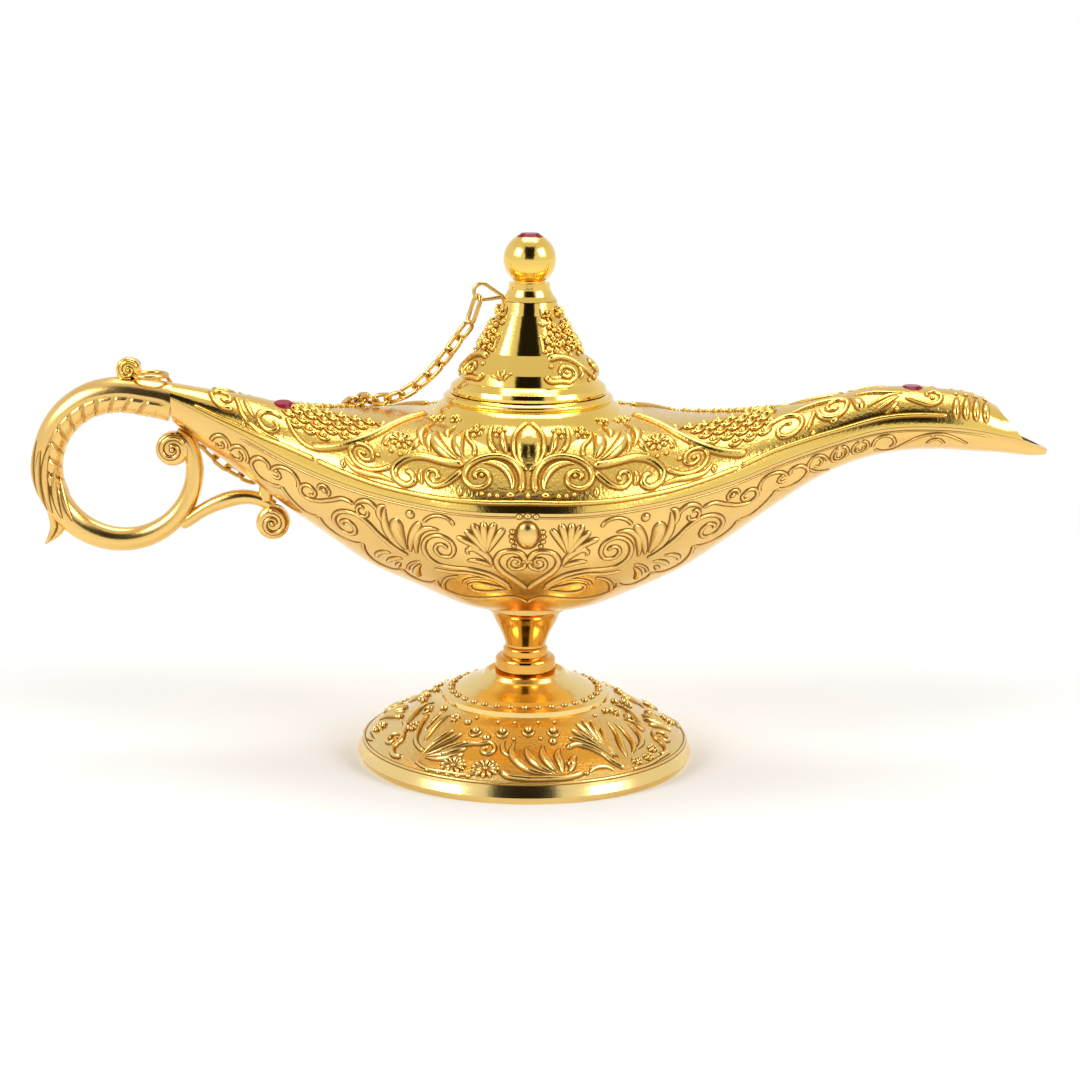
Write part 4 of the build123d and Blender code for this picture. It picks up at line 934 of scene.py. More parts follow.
K = 0.3
cover_strokes = [
    # great C-scroll beside the medallion, with its curl
    line(0.75, 0.5, 0.85, K, (-1.3, 4.4), (-0.9, 7.0), (-1.3, 9.6), (-2.8, 12.0), (-5.4, 13.3),
         (-8.2, 13.2), (-10.8, 12.0), (-12.6, 9.8), (-12.8, 7.2), (-11.4, 5.6), (-9.2, 5.6), (-7.8, 7.0),
         (-8.0, 9.0), (-9.6, 9.8), (-10.8, 8.6), (-10.0, 7.6)),
    leaf(0.9, 0.7, K, (-3.0, 5.0), (-3.1, 8.0), (-4.6, 10.6), (-7.0, 11.8), (-9.4, 11.6)),
    # S-scroll that rises from the curl and falls towards the band
    line(0.95, 0.6, 0.9, K, (-12.9, 11.0), (-15.6, 10.8), (-18.6, 11.0), (-21.6, 11.2), (-24.4, 10.4),
         (-26.6, 8.6), (-27.8, 6.4), (-27.0, 4.2), (-24.8, 3.6), (-23.4, 5.0), (-24.2, 6.6), (-25.6, 6.4)),
    line(0.7, 0.4, 0.7, K, (-13.4, 9.4), (-15.2, 7.2), (-17.4, 5.2), (-19.6, 4.6), (-20.8, 6.0),
         (-20.4, 8.0), (-18.9, 8.2), (-18.5, 6.8), (-19.4, 6.4)),
    leaf(0.6, 0.5, K, (-21.6, 4.2), (-22.2, 6.0), (-21.8, 8.2)),
    # long scroll to the next rosette
    line(0.5, 0.4, 0.6, K, (-28.4, 7.2), (-30.4, 5.8), (-33.4, 4.9), (-36.2, 5.6), (-37.4, 7.8),
         (-36.6, 10.0), (-34.4, 10.6), (-32.6, 9.4), (-32.7, 7.6), (-34.3, 6.9), (-35.5, 8.0),
         (-34.6, 9.0)),
    leaf(0.7, 0.5, K, (-27.2, 3.4), (-30.4, 4.1), (-33.6, 3.9), (-37.0, 4.2), (-38.6, 6.0)),
    # smooth half-round band rising to the shoulder
    line(0.9, 0.7, 0.9, K, (-46.0, 5.0), (-43.0, 6.2), (-39.6, 8.2), (-36.2, 11.0), (-33.0, 14.4),
         (-30.6, 17.6), (-28.8, 20.4), (-26.4, 23.8), (-23.8, 27.2), (-21.8, 29.8)),
    # leaves beside the medallion
    leaf(1.3, 0.9, K, (-13.2, 12.4), (-14.4, 14.8), (-14.4, 17.6), (-13.0, 20.6)),
    leaf(1.5, 1.0, K, (-14.2, 11.8), (-17.4, 13.4), (-19.2, 16.2), (-19.2, 20.4)),
    leaf(0.7, 0.6, K, (-20.2, 12.6), (-20.8, 15.4), (-20.4, 18.6), (-21.4, 21.0)),
    line(0.55, 0.4, 0.6, K, (-6.0, 14.2), (-7.4, 15.8), (-7.8, 18.2), (-7.2, 20.6)),
    line(0.45, 0.4, 0.5, K, (-11.2, 13.0), (-11.0, 15.6), (-12.4, 18.0), (-12.4, 21.0)),
    leaf(0.6, 0.5, K, (-4.2, 14.0), (-5.0, 16.2), (-5.0, 19.0)),
    leaf(0.8, 0.6, K, (-21.6, 14.0), (-22.6, 17.6), (-21.6, 21.2), (-19.6, 24.0)),
    leaf(0.7, 0.6, K, (-16.6, 17.6), (-16.8, 20.2), (-15.0, 22.6)),
    leaf(0.6, 0.5, K, (-30.6, 11.8), (-29.6, 14.6), (-28.2, 17.0)),
    leaf(0.6, 0.5, K, (-24.8, 12.2), (-23.4, 14.4), (-23.0, 17.0)),
]
petals, eyes = [], []
for u, v, radius, count, turn, eye in (
        (-26.6, 14.8, 2.9, 9, 0.3, 0.9), (-5.8, 18.6, 1.7, 5, 0.3, 0.6), (-10.6, 19.8, 1.9, 5, 0.4, 0.6),
        (-19.4, 26.4, 2.1, 6, 0.2, 0.6), (-15.0, 24.8, 1.7, 5, 0.0, 0.6)):
    petals += rosette(u, v, radius, count, 0.6, turn, groove=0.6 * K, plump=1.9, reaches=(0.25, 0.65, 1.0))
    eyes.append((u, v, eye, eye, 0.8))
# Blossom heads packed between the rising band and the ridge, in staggered rows.
band_x = [-52.5, -51.8, -50.0, -48.0, -46.0, -43.0, -39.6, -36.2, -33.0, -30.6, -28.8]
band_up = [12.0, 9.4, 6.6, 5.0, 5.0, 6.2, 8.2, 11.0, 14.4, 17.6, 20.4]
pebbles = []
for row in range(7):
    for column in range(9):
        at = (-51.6 + 3.2 * column + 1.6 * (row % 2), 6.8 + 2.6 * row)
        if at[0] < -29.5 and float(np.interp(at[0], band_x, band_up)) + 2.1 < at[1] < 21.5:
            pebbles.append(at)
petals += [cup(u, v, 0.36, 0.6, 0.16, (1.3, 0.2), (0.95, 0.95), 1.35) for u, v in pebbles]
arm_strokes = [
    line(0.5, 0.4, 0.6, K, (-51.8, 10.0), (-50.2, 6.6), (-47.6, 4.9), (-44.6, 5.2), (-43.4, 7.4)),
    line(0.6, 0.4, 0.6, K, (-52.6, 8.6), (-55.2, 8.8), (-57.4, 7.0), (-57.8, 4.8), (-56.4, 3.6),
         (-54.4, 4.2), (-53.6, 5.8), (-55.0, 6.6)),
    leaf(0.7, 0.5, K, (-53.0, 3.0), (-55.2, 2.4), (-57.8, 2.4), (-60.0, 3.2)),
    line(0.5, 0.4, 0.6, K, (-59.2, 2.6), (-61.4, 4.0), (-62.6, 6.4), (-63.6, 8.4)),
    line(0.6, 0.4, 0.7, K, (-63.4, 4.4), (-65.6, 3.4), (-67.8, 4.2), (-68.6, 6.2), (-67.4, 8.0),
         (-65.2, 8.0), (-64.3, 6.4), (-65.4, 5.2), (-66.6, 6.0)),
    leaf(0.6, 0.5, K, (-58.6, 4.6), (-60.4, 6.6), (-61.4, 9.0)),
]
spout_work = [
    line(0.6, 0.4, 0.7, K, (50.4, 7.6), (52.0, 10.2), (55.2, 11.2), (58.2, 9.6), (58.8, 6.8), (56.8, 5.0),
         (54.2, 5.4), (53.4, 7.4), (55.0, 8.8), (56.6, 7.6)),
    leaf(0.7, 0.6, K, (56.2, 12.0), (60.4, 12.2), (64.6, 12.0), (68.4, 11.2)),
    line(0.5, 0.4, 0.6, K, (59.4, 4.4), (61.0, 7.2), (61.8, 10.0)),
    line(0.6, 0.4, 0.7, K, (62.2, 9.6), (63.0, 6.6), (65.4, 5.2), (68.0, 6.2), (68.8, 8.6), (67.2, 10.6),
         (64.9, 10.2), (64.4, 8.4), (65.8, 7.4), (66.9, 8.4)),
    petal(1.1, 0.9, K, (69.4, 10.4), (70.8, 7.6), (71.6, 4.6)),
    leaf(0.5, 0.5, K, (70.4, 11.0), (74.0, 9.6), (77.6, 8.4), (81.0, 8.2)),
    leaf(0.45, 0.45, K, (72.6, 5.0), (75.4, 6.4), (78.0, 7.6), (80.2, 8.0)),
    leaf(0.45, 0.45, K, (74.0, 3.6), (76.6, 4.8), (78.6, 6.2), (80.0, 7.2)),
    leaf(0.4, 0.4, K, (76.6, 2.8), (78.4, 4.0), (79.6, 5.6)),
    line(0.5, 0.35, 0.6, K, (81.0, 6.6), (83.6, 5.2), (86.4, 4.4), (88.6, 5.6), (88.9, 7.6), (87.3, 8.8),
         (85.8, 7.8), (86.6, 6.6)),
]
LIP_PETALS = (92.0, 94.2, 96.4, 98.6)  # their places in x
spout_work += [
    petal(0.72, 0.75, K, (x + 0.5, 7.6), (x + 0.1, 5.0), (x - 0.1, 2.6), (x, 1.4)) for x in LIP_PETALS]
edge_x = np.linspace(-45.0, 45.0, 40)
cover_rows = mirrored(cover_strokes + petals, CENTRE) + arm_strokes + spout_work
# the plain band along the seam, in the middle and out to both ends
cover_rows += [
    line(0.5, 0.5, 0.5, 0.2, *[
        (x, float(np.interp(abs(x), [0, 10, 20, 30, 45], [2.25, 2.15, 1.9, 2.0, 2.6]))) for x in edge_x]),
    line(0.3, 0.5, 0.4, 0.2, (-72.0, 0.9), (-64.0, 1.1), (-58.0, 1.5), (-52.0, 2.3), (-45.0, 2.6)),
    line(0.5, 0.3, 0.4, 0.2, (45.0, 2.6), (52.0, 2.9), (60.0, 2.5), (70.0, 2.0), (80.0, 2.1), (90.0, 2.2))]
# pointed medallion frame
cover_rows += mirrored([
    line(0.42, 0.42, 0.6, K, (CENTRE, 9.8), (-1.2, 11.2), (-2.3, 13.0), (-2.8, 15.0), (-2.6, 17.0),
         (-1.7, 18.9), (CENTRE, 20.3))], CENTRE)
cover_beads = mirrored_beads([
    (-3.3, 3.9, 0.95, 0.6, 0.6), (-6.0, 3.7, 0.55, 0.5, 0.45), (-7.6, 3.8, 0.5, 0.5, 0.45),
    (-9.2, 4.1, 0.5, 0.5, 0.45), (-13.8, 4.3, 0.6, 1.2, 0.6), (-9.3, 8.6, 0.5, 0.5, 0.6),
    (-38.8, 4.2, 0.6, 0.9, 0.5), *eyes, (-34.4, 8.4, 0.45, 0.45, 0.6), (-29.8, 12.6, 0.45, 0.45, 0.5),
    (-28.6, 11.0, 0.45, 0.45, 0.5), (-26.6, 10.6, 0.45, 0.45, 0.5), (-24.6, 11.2, 0.45, 0.45, 0.5),
    (-34.0, 11.4, 0.5, 0.5, 0.5), (-31.4, 9.0, 0.5, 0.5, 0.5),
    *[(u, v, 0.85, 0.8, 0.85) for u, v in pebbles]], CENTRE)
cover_beads += [(CENTRE, 3.8, 0.5, 0.7, 0.5), (61.0, 3.4, 0.5, 0.7, 0.5), (79.2, 3.6, 0.5, 0.6, 0.4),
                (65.6, 4.6, 0.9, 0.7, 0.5), (-61.0, 2.0, 0.5, 0.6, 0.4), (87.0, 6.4, 0.5, 0.5, 0.5)]
cover_beads += [(x + 0.3, 8.4, 0.4, 0.4, 0.45) for x in LIP_PETALS]
medallion = [(CENTRE, 14.9, 2.4, 5.0, 0.45)]
front = relief(shoulder_at, rim_line, cover_rows, (cover_beads,), (medallion,))
make_both("cover_ornament", front, cover_gold)

# %% [markdown]
# ### The foot's ornament
#
# The foot is a turned dome with a smooth rim, a broad sloping band of cast relief
# and a row of beads under its shoulder. The relief is a shell that opens from a
# long scroll at the bottom, palmettes and rosettes beside it and single drops
# above, on a stippled ground. It is drawn for one half of the foot and turned
# round for the other. Here u is the distance round the foot at a radius of 30 mm,
# and s the distance up its outline from the table.

# %% The foot's surface
FOOT = np.array([
    (0.984, 0.0), (1.000, 0.077), (0.980, 0.164), (0.973, 0.200), (0.922, 0.282), (0.839, 0.374),
    (0.726, 0.467), (0.594, 0.636), (0.503, 0.697), (0.500, 0.750), (0.470, 0.775), (0.427, 0.780),
    (0.403, 0.815), (0.340, 0.880), (0.263, 0.933)]) * [37.2, 19.5]
LID_SEAT = 82.0
LID = np.array([
    (1.000, 0.0), (1.006, 0.030), (0.985, 0.075), (0.940, 0.108), (0.894, 0.140), (0.885, 0.150),
    (0.847, 0.268), (0.662, 0.465), (0.391, 0.864), (0.353, 1.0)]) * [17.0, 19.8] + [0, LID_SEAT]


def round_map(outline, unit):
    """Surface of revolution by two lengths: round it at a radius of one unit, and up its outline."""
    reach = reach_of(outline)

    def surface(u, s):
        """x = r sin a, y = -r cos a, with a = u / unit and radius r and height read off the outline."""
        radius, height = np.interp(s, reach, outline[:, 0]), np.interp(s, reach, outline[:, 1])
        return spots(radius * np.sin(u / unit), -radius * np.cos(u / unit), height)

    return surface


FOOT_UNIT, LID_UNIT, RING_BEADS = 30.0, 12.0, 34
foot_at, lid_at = round_map(FOOT, FOOT_UNIT), round_map(LID, LID_UNIT)

# %% Foot strokes
foot_strokes = [
    # long scroll at the bottom and the shell that opens from it
    line(0.8, 0.6, 0.9, 0.25, (-4.0, 8.4), (-3.2, 6.9), (-0.2, 6.2), (4.2, 6.0), (8.6, 6.1), (11.6, 7.0)),
    leaf(1.0, 0.9, 0.2, (5.6, 7.2), (2.2, 7.9), (-1.0, 10.6), (-2.8, 14.4), (-2.0, 17.2)),
    leaf(0.95, 0.9, 0.2, (6.0, 7.3), (3.6, 9.0), (1.4, 12.0), (0.6, 15.8)),
    leaf(0.95, 0.9, 0.2, (6.6, 7.3), (5.4, 9.8), (4.4, 12.6), (4.8, 16.2)),
    leaf(0.85, 0.8, 0.2, (7.4, 7.3), (7.6, 9.8), (7.4, 12.2), (8.8, 14.8)),
    leaf(0.75, 0.7, 0.2, (8.6, 7.2), (9.8, 9.0), (10.4, 10.8), (12.0, 12.2)),
    line(0.7, 0.5, 0.8, 0.2, (10.4, 14.4), (12.6, 15.4), (15.0, 14.6), (17.4, 11.8), (18.6, 8.6),
         (20.2, 6.0)),
    curl(-8.6, 14.0, 2.4, 1.2, 2.4, 0.6, 0.8, -1, tail=[(-18.0, 9.4), (-16.4, 12.8), (-13.2, 15.2)]),
    leaf(0.8, 0.8, 0.2, (22.4, 8.6), (24.0, 12.4), (26.2, 16.0), (26.6, 19.6)),
    leaf(0.75, 0.7, 0.2, (24.4, 9.4), (27.6, 12.0), (29.2, 15.6), (29.0, 19.0)),
    leaf(0.7, 0.7, 0.2, (26.6, 10.2), (30.6, 11.6), (33.0, 14.2), (33.4, 17.4)),
    line(0.55, 0.45, 0.7, 0.2, (-34.0, 19.4), (-30.6, 15.0), (-26.8, 11.6), (-22.4, 10.0)),
    leaf(0.7, 0.7, 0.2, (-24.8, 12.6), (-26.4, 15.6), (-26.6, 19.4), (-25.0, 22.0)),
    leaf(0.6, 0.6, 0.2, (-28.6, 15.6), (-29.6, 18.4), (-29.2, 21.6)),
    line(0.34, 0.34, 0.3, 0.12, *[(u, 4.7) for u in np.linspace(-47.3, 47.3, 30)]),
    leaf(0.6, 0.6, 0.16, (12.6, 6.6), (14.4, 7.8), (16.4, 7.6), (17.8, 6.0)),
    leaf(0.6, 0.6, 0.16, (-2.6, 12.2), (-4.4, 13.6), (-5.2, 15.8), (-4.6, 17.6)),
    leaf(0.7, 0.7, 0.2, (-31.0, 9.2), (-33.6, 12.4), (-37.2, 14.2), (-40.4, 14.0)),
    leaf(0.7, 0.7, 0.2, (-38.6, 6.6), (-41.6, 6.0), (-44.6, 6.4)),
    leaf(0.7, 0.7, 0.2, (35.0, 13.2), (36.4, 15.2), (36.0, 17.0)),
    line(0.4, 0.4, 0.5, 0.16, (-22.4, 7.0), (-19.0, 5.9), (-14.6, 6.0), (-10.2, 6.2), (-8.0, 7.6)),
    line(0.4, 0.4, 0.5, 0.16, (21.6, 5.6), (25.6, 5.5), (30.0, 5.9), (34.4, 6.0)),
    curl(-33.4, 9.6, 2.7, 1.3, -0.4, 0.6, 0.8, 1, tail=[(-26.0, 7.0), (-28.6, 6.4)]),
    curl(37.6, 9.4, 2.7, 1.3, 3.5, 0.6, 0.8, -1, tail=[(30.6, 6.8), (33.2, 6.4)]),
    leaf(0.8, 0.7, 0.2, (36.4, 13.6), (38.8, 16.2), (40.0, 19.6), (39.0, 22.4)),
    leaf(0.8, 0.7, 0.2, (-36.6, 13.8), (-39.0, 16.4), (-40.2, 19.8), (-39.2, 22.4)),
]
foot_strokes += fan((20.4, 8.0), [(11.6, 17.4), (13.4, 19.6), (16.0, 21.2), (18.8, 21.8), (21.4, 21.0),
                                  (23.2, 18.4)], 0.75, 1.0)
foot_strokes += fan((-22.4, 8.2), [(-13.2, 12.0), (-13.4, 13.8), (-14.4, 15.8), (-16.8, 17.6),
                                   (-19.8, 18.0)], 0.7, 0.85)
foot_strokes += fan((44.2, 7.6), [(40.0, 13.6), (42.4, 15.4), (45.0, 16.0), (47.6, 15.2), (49.8, 13.4)],
                    0.7, 0.85)
for u, v, radius, count, turn in (
        (-7.4, 8.3, 2.7, 12, 0.0), (-14.0, 8.1, 2.6, 12, 0.2), (24.0, 7.2, 1.3, 6, 0.0),
        (27.3, 7.2, 1.3, 6, 0.3), (30.6, 8.6, 1.3, 6, 0.1), (-22.6, 21.0, 1.4, 6, 0.0),
        (-33.6, 15.0, 1.8, 8, 0.0), (33.6, 21.0, 1.5, 7, 0.2), (45.0, 20.2, 1.8, 8, 0.0),
        (-43.4, 9.0, 2.0, 9, 0.0)):
    foot_strokes += rosette(u, v, radius, count, 0.75, turn, 1.1)
foot_drops = [(u, v, 1.05, 0.85, 0.85) for u, v in (
    (-13.6, 19.0), (-6.0, 19.6), (1.2, 20.2), (8.2, 19.8), (7.4, 16.8), (9.8, 9.6), (-9.8, 17.4),
    (-17.4, 20.8), (31.0, 22.4), (36.4, 18.4), (-31.4, 22.6), (-36.4, 20.6), (41.8, 22.8), (-44.0, 14.0),
    (-45.0, 20.4))]
foot_drops += [(u, v, 0.5, 0.45, 0.45) for u, v in (
    (-7.4, 8.3), (-14.0, 8.1), (24.0, 7.2), (27.3, 7.2), (30.6, 8.6), (-33.6, 15.0), (45.0, 20.2),
    (-43.4, 9.0), (-10.2, 5.8), (-12.2, 5.5), (-14.2, 5.5), (-16.2, 5.6), (-18.6, 5.6), (12.0, 6.6),
    (13.6, 7.8), (-2.6, 17.6), (4.4, 17.8), (-8.2, 22.2), (-3.0, 22.4), (4.4, 22.6), (9.6, 22.4),
    (-16.0, 22.8), (25.0, 22.2))]
foot_strokes += [
    cup(u, v, 0.3, 0.45, 0.14, (1.7, 0.3), (1.2, 1.2), 1.8) for u, v in (
        (-13.6, 19.0), (-6.0, 19.6), (1.2, 20.2), (8.2, 19.8), (36.4, 18.4), (-36.4, 20.6))]
half = relief(foot_at, on_axis(0), foot_strokes, (foot_drops, 0.16))
bead_ring = [(FOOT_UNIT * 2 * math.pi * k / RING_BEADS, 27.7, 1.35, 0.72, 0.62) for k in range(RING_BEADS)]
ring = relief(foot_at, on_axis(0), [], (bead_ring, 0.12))
make_piece("foot_ornament", half + flipped(half, (-1, -1, 1)) + ring, foot_gold, "lamp")

# %% [markdown]
# ### The lid's ornament
#
# Two smooth polished panels are left in front and behind. Between them blossoms,
# scrolls and leaves cover the cone and break over the panel's edge. The work
# turns with the lid. Here u is the distance round at a radius of 12 mm, and s
# the distance up from the seat.

# %% Lid strokes
PANEL = -2.75  # middle of the smooth panel, as u on the lid
lid_strokes = [
    curl(7.4, 6.9, 2.2, 1.5, -2.2, 0.6, 0.75, 1, tail=[(3.2, 6.6), (3.9, 5.2)]),
    line(0.85, 0.6, 0.85, 0.2, (4.2, 10.2), (6.8, 10.9), (9.8, 10.0), (12.2, 7.6), (14.0, 5.2)),
    leaf(0.55, 0.6, 0.2, (9.8, 5.0), (11.0, 6.4), (11.2, 8.2)),
    petal(0.5, 0.6, 0.16, (5.2, 12.6), (4.2, 12.2), (3.1, 12.6)),
    petal(0.5, 0.6, 0.16, (5.4, 15.6), (4.2, 15.4), (2.9, 16.0)),
    petal(0.5, 0.6, 0.16, (6.0, 18.4), (4.6, 18.4), (3.2, 19.2)),
    leaf(0.4, 0.5, 0.16, (3.4, 11.6), (3.6, 14.2), (3.0, 16.6)),
    leaf(0.4, 0.5, 0.16, (4.4, 20.0), (4.8, 21.4), (4.2, 22.4)),
]
for step in range(3):
    at = 17.6 + 6.6 * step
    lid_strokes.append(curl(at, 7.0, 2.2, 1.4, -2.2, 0.6, 0.75, 1, tail=[(at - 3.4, 5.6), (at - 2.6, 4.8)]))
    lid_strokes.append(leaf(0.6, 0.6, 0.18, (at + 2.2, 4.8), (at + 3.4, 6.6), (at + 3.0, 9.2)))
blossoms = []
for level, size, first, gap in ((13.4, 2.3, 6.4, 4.9), (17.1, 1.95, 7.9, 5.9), (20.6, 1.45, 7.4, 6.6)):
    radius = float(np.hypot(*lid_at(np.array(0.0), np.array(level))[:2]))
    spot = first
    while spot < 34.5:
        blossoms.append((spot, level + 0.3 * math.sin(2.3 * spot), size, LID_UNIT / radius))
        spot += gap
for index, (u, v, radius, stretch) in enumerate(blossoms):
    lid_strokes += rosette(u, v, radius, 5, 0.95, 0.4 * index, stretch, 0.16)
lid_beads = [(u, v, 0.62 * stretch, 0.6, 0.95) for u, v, radius, stretch in blossoms]
lid_beads += [(10.6 + 3.3 * k, 10.9, 0.55, 0.5, 0.6) for k in range(8)]
lid_beads += [(8.9 + 4.9 * k, 15.6, 0.6, 0.45, 0.6) for k in range(5)]
lid_beads += [(7.4, 6.9, 0.55, 0.5, 0.7), (4.6, 8.6, 0.5, 0.45, 0.5), (12.8, 4.6, 0.5, 0.4, 0.4)]
front_fan = fan((-4.6, 4.6), [(-7.2, 6.2), (-6.0, 7.4), (-4.4, 7.8), (-2.8, 7.0)], 0.3, 0.4, 0.1, 0.14)
rows = mirrored(lid_strokes, PANEL) + front_fan
lid_work = relief(lid_at, on_axis(LID_SEAT), rows, (mirrored_beads(lid_beads, PANEL), 0.14))
make_piece("lid_ornament", lid_work, cover_gold, "lid")

# %% [markdown]
# ## Handle
#
# The loop is a round bar that tapers from the body to a rolled scroll. Its inner
# half has slanting flutes, divided by a crease from the plain outer half. An
# acanthus leaf wraps the far side and leaves the loop as a curled tail. A bar
# with flutes could be carved by booleans; here the flutes are part of the
# bar's own radius, so they stay smooth where they run out.

# %% Loop
LOOP, LOOP_RADIUS = np.array([-88.9, 64.03]), 16.1
turn = np.radians(90 + 24.5 * np.arange(12))
loop_points = np.concatenate([
    [(-77.25, 78.43), (-82.5, 79.49)], LOOP + LOOP_RADIUS * np.stack([np.cos(turn), np.sin(turn)], 1),
    LOOP + LOOP_RADIUS * np.array([(0.975, 0.19), (0.885, 0.37), (0.755, 0.455)])])
loop_reach = reach_of(loop_points)
FLUTE_PITCH, FLUTE_DEPTH, CREASE_DEPTH = 3.6, 0.5, 0.32


def loop_frame(d):
    """Centre, direction along, direction away from the loop's middle, and radius of the bar at a length."""
    centre = bend(loop_reach, loop_points, d)
    run = normed(bend(loop_reach, loop_points, d + 0.05) - bend(loop_reach, loop_points, d - 0.05))
    radius = 4.25 - 2.55 * d / loop_reach[-1]
    return centre, run, np.stack([run[..., 1], -run[..., 0]], -1), radius


def bar_at(d, angle, cut=0.0):
    """Bar surface: centre + (radius - cut) times (cos a towards the front, sin a outwards)."""
    centre, run, out, radius = loop_frame(d)
    reach = radius - cut
    flat = centre + (reach * np.sin(angle))[..., None] * out
    return spots(flat[..., 0], -reach * np.cos(angle), flat[..., 1])


d = np.concatenate([np.linspace(0, 52, 300), np.linspace(52.4, loop_reach[-1], 110)])[:, None]
angle = round_angles(72)[None, :]
# 1 on the inner line, 0 at front and back.
inward = np.degrees(np.arcsin(np.clip(-np.sin(angle), -1, 1))) / 90.0
phase = (d - 1.5 - 3.2 * inward) / FLUTE_PITCH
near = np.abs(phase - np.round(phase)) * FLUTE_PITCH
fade = rise_from(d, 2.0, 3) * rise_from(-d, -44, 4) * rise_from(inward, -0.02, 0.12)
flute = FLUTE_DEPTH * np.exp(-((near / 0.42) ** 2)) * fade * rise_from(-inward, -1.05, 0.2)
crease = CREASE_DEPTH * np.exp(-((inward / 0.06) ** 2)) * rise_from(d, 0.5, 2) * rise_from(-d, -46, 4)
bar = capped(bar_at(d + 0 * angle, angle + 0 * d, flute + crease - 0.1 * fade))
# The flutes and the crease are painted darker by this share: painted shade in the hollows.
shade = np.clip(0.5 * flute / FLUTE_DEPTH + 0.4 * crease / CREASE_DEPTH, 0, 1)
shade = np.concatenate([0 * shade[:1], shade, 0 * shade[:1]])

# %% Tail leaf
outer_edge = np.array([(-107.0, 66.4), (-107.3, 63.0), (-107.1, 60.0), (-106.2, 56.6), (-105.3, 53.4),
                       (-104.9, 50.6), (-105.5, 48.4), (-106.2, 46.6)])
inner_edge = np.array([(-103.6, 66.4), (-103.4, 62.6), (-102.8, 58.6), (-102.2, 55.4), (-101.7, 53.0),
                       (-101.2, 50.9), (-102.6, 48.6), (-106.0, 46.5)])
t = np.linspace(0, 1, 60)[:, None]
steps = np.linspace(0, 1, 8)
left, right = bend(steps, outer_edge, t[:, 0])[:, None], bend(steps, inner_edge, t[:, 0])[:, None]
turn = round_angles(48)[None, :]
across = np.cos(turn)
thick = 2.3 * (1 - 0.45 * t) * np.sqrt(np.clip((1.0 - t) / 0.12, 0.0004, 1))
thick = thick * np.sqrt(np.clip(t / 0.05, 0.01, 1))
groove = np.exp(-(((across - 0.15 + 0.25 * t) / 0.13) ** 2))
groove = groove * rise_from(t, 0, 0.15) * rise_from(-t, -1, 0.15)
flat = (left + right) / 2 + (right - left) / 2 * across[..., None]
depth = -thick * np.sin(turn) * (1 - 0.34 * groove)
tail = capped(spots(flat[..., 0], depth, flat[..., 1]))
# Painted shade along the leaf's groove.
tail_shade = np.concatenate([0 * groove[:1], 0.8 * groove, 0 * groove[:1]])


# %% Leaf on the loop and rolled scrolls
def loop_at(u, v):
    """Front of the bar: u millimetres along it, v millimetres round it from the front towards the outside."""
    return bar_at(u, v / loop_frame(u)[3])


def loop_inside(u):
    """The bar's centre line."""
    centre = bend(loop_reach, loop_points, u)
    return spots(centre[..., 0], 0, centre[..., 1])


leaf_rows = [
    leaf(0.75, 0.5, 0.2, (31.0, -0.6), (35.0, -0.2), (40.0, 0.4), (46.5, 2.0)),
    leaf(0.7, 0.5, 0.2, (33.0, 1.4), (37.0, 1.7), (41.0, 2.3), (45.5, 3.3)),
    leaf(0.65, 0.5, 0.2, (36.0, -2.2), (40.0, -1.6), (44.0, -0.6), (48.5, 0.8)),
    leaf(0.6, 0.45, 0.2, (39.5, -3.4), (43.0, -2.8), (46.5, -1.8), (50.5, -0.5)),
    leaf(0.6, 0.45, 0.2, (31.5, 3.4), (35.0, 3.5), (39.0, 3.9), (43.5, 4.6)),
]


def rolled(x, z, radius, face, start, hand):
    """A ridge that winds in over a scroll's face at y = -face, with a boss at its middle."""
    def surface(u, v):
        """x + u, -face, z + v."""
        return spots(x + u, -face, z + v)

    def behind(u):
        """Points in the lamp's middle plane, behind the face."""
        return spots(x + u, 0, z)

    winding = curl(0.0, 0.0, radius, 1.35, start, 0.2 * radius, 0.22 * radius, hand, 0.14)
    boss = [(0, 0, 0.2 * radius, 0.2 * radius, 0.24 * radius)]
    return relief(surface, behind, [winding], (boss, 0.12))


# The scroll itself: a thick disc with rounded edges, carried round its own axis.
SCROLL_X, SCROLL_Z = -77.39, 68.38
profile = np.array([(0.02, 2.2), (2.7, 2.2), (3.3, 2.0), (3.62, 1.5), (3.7, 0.9), (3.7, -0.9), (3.62, -1.5),
                    (3.3, -2.0), (2.7, -2.2), (0.02, -2.2)])
turn, radius = round_angles(64)[None, :], profile[:, :1]
disc = spots(SCROLL_X + radius * np.cos(turn), profile[:, 1:], SCROLL_Z + radius * np.sin(turn))
front = relief(loop_at, loop_inside, leaf_rows) + rolled(SCROLL_X, SCROLL_Z, 3.05, 2.2, 0.4, 1)
handle_sheets = [(bar, True, shade), (tail, True, tail_shade), *front, *flipped(front), (disc, True, 0.0)]
make_piece("handle_dressed", handle_sheets, bowl_gold, "lamp", ("handle_loop",))
front = rolled(-55.73, 52.20, 3.05, 2.2, 1.9, -1)
make_piece("bracket_scroll", front + flipped(front), bowl_gold, "lamp")
front = rolled(-86.73, 85.63, 2.2, 1.5, 0.2, 1)
make_piece("lug_scroll", front + flipped(front), cover_gold, "lamp")
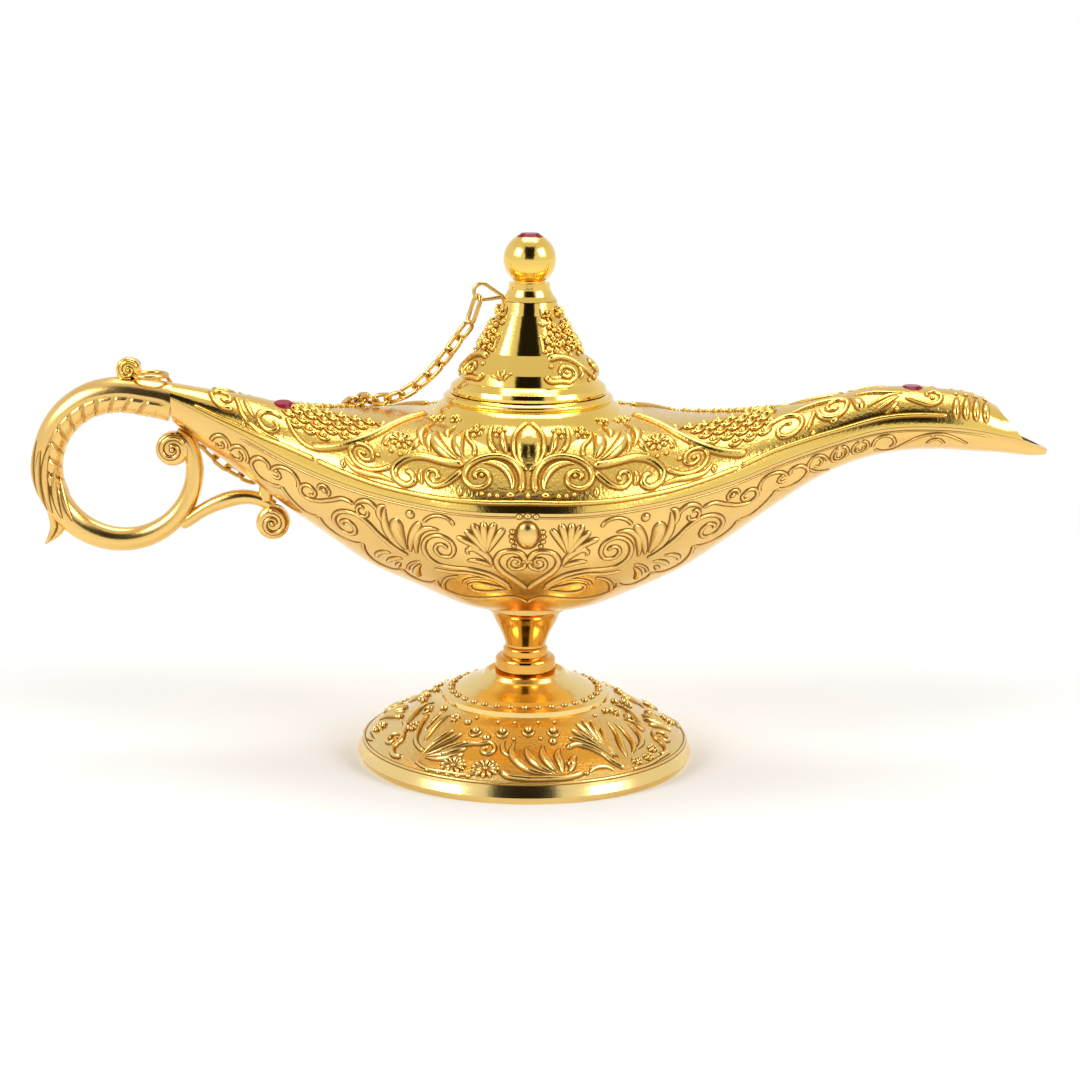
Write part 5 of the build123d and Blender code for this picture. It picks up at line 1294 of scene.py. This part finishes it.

# %% [markdown]
# ## Chain
#
# Drawn wire bent into ovals, each a quarter turn from its neighbour. The links
# lie on the measured route: from the eye on the finial, over the cover's ridge,
# behind the body and up to the ring.

# %% Chain route and links
chain_route = np.array([
    (-12.9, 0.0, 96.4), (-15.3, 0.0, 93.2), (-18.3, 0.0, 89.0), (-21.6, 0.1, 85.2), (-25.2, 0.4, 82.2),
    (-29.2, 1.2, 80.0), (-33.6, 4.2, 79.0), (-37.6, 9.2, 78.2), (-41.2, 14.6, 75.4), (-44.6, 19.0, 70.6),
    (-47.8, 20.4, 65.2), (-51.2, 19.4, 60.9), (-55.6, 16.4, 58.9), (-60.2, 11.8, 59.4), (-64.6, 8.6, 61.6),
    (-68.6, 7.4, 64.8), (-71.6, 7.0, 68.0), (-74.2, 6.9, 71.6), (-76.6, 6.8, 75.6), (-78.6, 6.4, 79.6),
    (-80.4, 5.0, 83.2)])
knots = np.concatenate([[0], np.cumsum(np.linalg.norm(np.diff(chain_route, axis=0), axis=1))])
fine = bend(knots, chain_route, np.linspace(0, knots[-1], 4000))
walked = np.concatenate([[0], np.cumsum(np.linalg.norm(np.diff(fine, axis=0), axis=1))])


def on_route(distance):
    """Point of the route at a walked distance."""
    return np.stack([np.interp(distance, walked, fine[:, axis]) for axis in range(3)], -1)


def oval_links(centres, runs, rolls, length, width, wire):
    """Oval rings of round wire: a stadium path in the link's plane, carried round by a small circle."""
    side = normed(np.cross(runs, (0.0, 1.0, 0.0)))
    roll = np.radians(rolls)[:, None]
    flat = side * np.cos(roll) + np.cross(runs, side) * np.sin(roll)
    wide = np.cross(flat, runs)
    a = round_angles(28)
    end, straight = width / 2 - wire, (length - width) / 2
    path = np.stack([end * np.cos(a) + straight * np.tanh(6 * np.cos(a)), end * np.sin(a)], 1)
    tangent = normed(np.roll(path, -1, 0) - np.roll(path, 1, 0))
    out = np.stack([tangent[:, 1], -tangent[:, 0]], 1)
    b = round_angles(8)
    plane = path[:, None] + wire * np.cos(b)[None, :, None] * out[:, None]
    lift = wire * np.sin(b)[None, :] + 0 * plane[..., 0]
    return (centres[:, None, None] + plane[None, ..., :1] * runs[:, None, None]
            + plane[None, ..., 1:] * wide[:, None, None] + lift[None, ..., None] * flat[:, None, None])


LINKS, WIRE, FIRST_ROLL = 30, 0.45, 48.0  # how many, wire radius, and degrees round the route
middles = (np.arange(LINKS) + 0.5) * walked[-1] / LINKS
runs = normed(on_route(middles + 0.3) - on_route(middles - 0.3))
links = oval_links(on_route(middles), runs, FIRST_ROLL + 90.0 * (np.arange(LINKS) % 2), 5.4, 3.4, WIRE)
top = np.array([-10.91, 0.0, 102.55])
hang = on_route(np.array(0.0)) - top
hang /= np.linalg.norm(hang)
end_link = oval_links((top + hang * 3.0)[None], hang[None], np.array([FIRST_ROLL + 90.0]), 7.0, 3.0, WIRE)
for name, grid, node in (
        ("chain_long_link", end_link, "chain_end_link"), ("chain_links_upper", links[:11], "chain_upper"),
        ("chain_links_back", links[11:22], "chain_back"), ("chain_links_lower", links[22:], "chain_lower")):
    piece = make_piece(name, [(grid, True, 0.0, True)], chain_gold, None, (node,))
    if node == "chain_lower":
        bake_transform(piece)
    else:
        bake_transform(piece)

# %% [markdown]
# ## Pieces kept from the measured model
#
# Collars, screws, stones, ball, ring and eye are right as they were measured, and
# only take their finish here. The pieces that the scene replaces are listed too, so
# that none is left without a finish.

# %% Finishes of the measured pieces
nodes_by_finish = (
    (foot_plate, ("foot",)),
    (stem_gold, ("stem_collar", "stem")),
    (bowl_gold, ("handle_loop", "handle_bracket")),
    (cover_gold, ("chain_lug", "lid_skirt", "finial_collar", "finial_ball")),
    (lid_gold, ("lid_cone",)),
    (chain_gold, ("chain_ring", "chain_eye", "chain_end_link", "chain_upper", "chain_back", "chain_lower")),
    (stone, ("handle_gem", "spout_gem", "finial_gem")),
    (steel, ("foot_screw", "foot_washer", "seam_pins", "finial_screw", "finial_washer")))
finishes = {node: material for material, nodes in nodes_by_finish for node in nodes}
for node, material in finishes.items():
    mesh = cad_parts[node].data
    mesh.materials.clear()
    mesh.materials.append(material)
print("finished", len(finishes), "measured pieces")
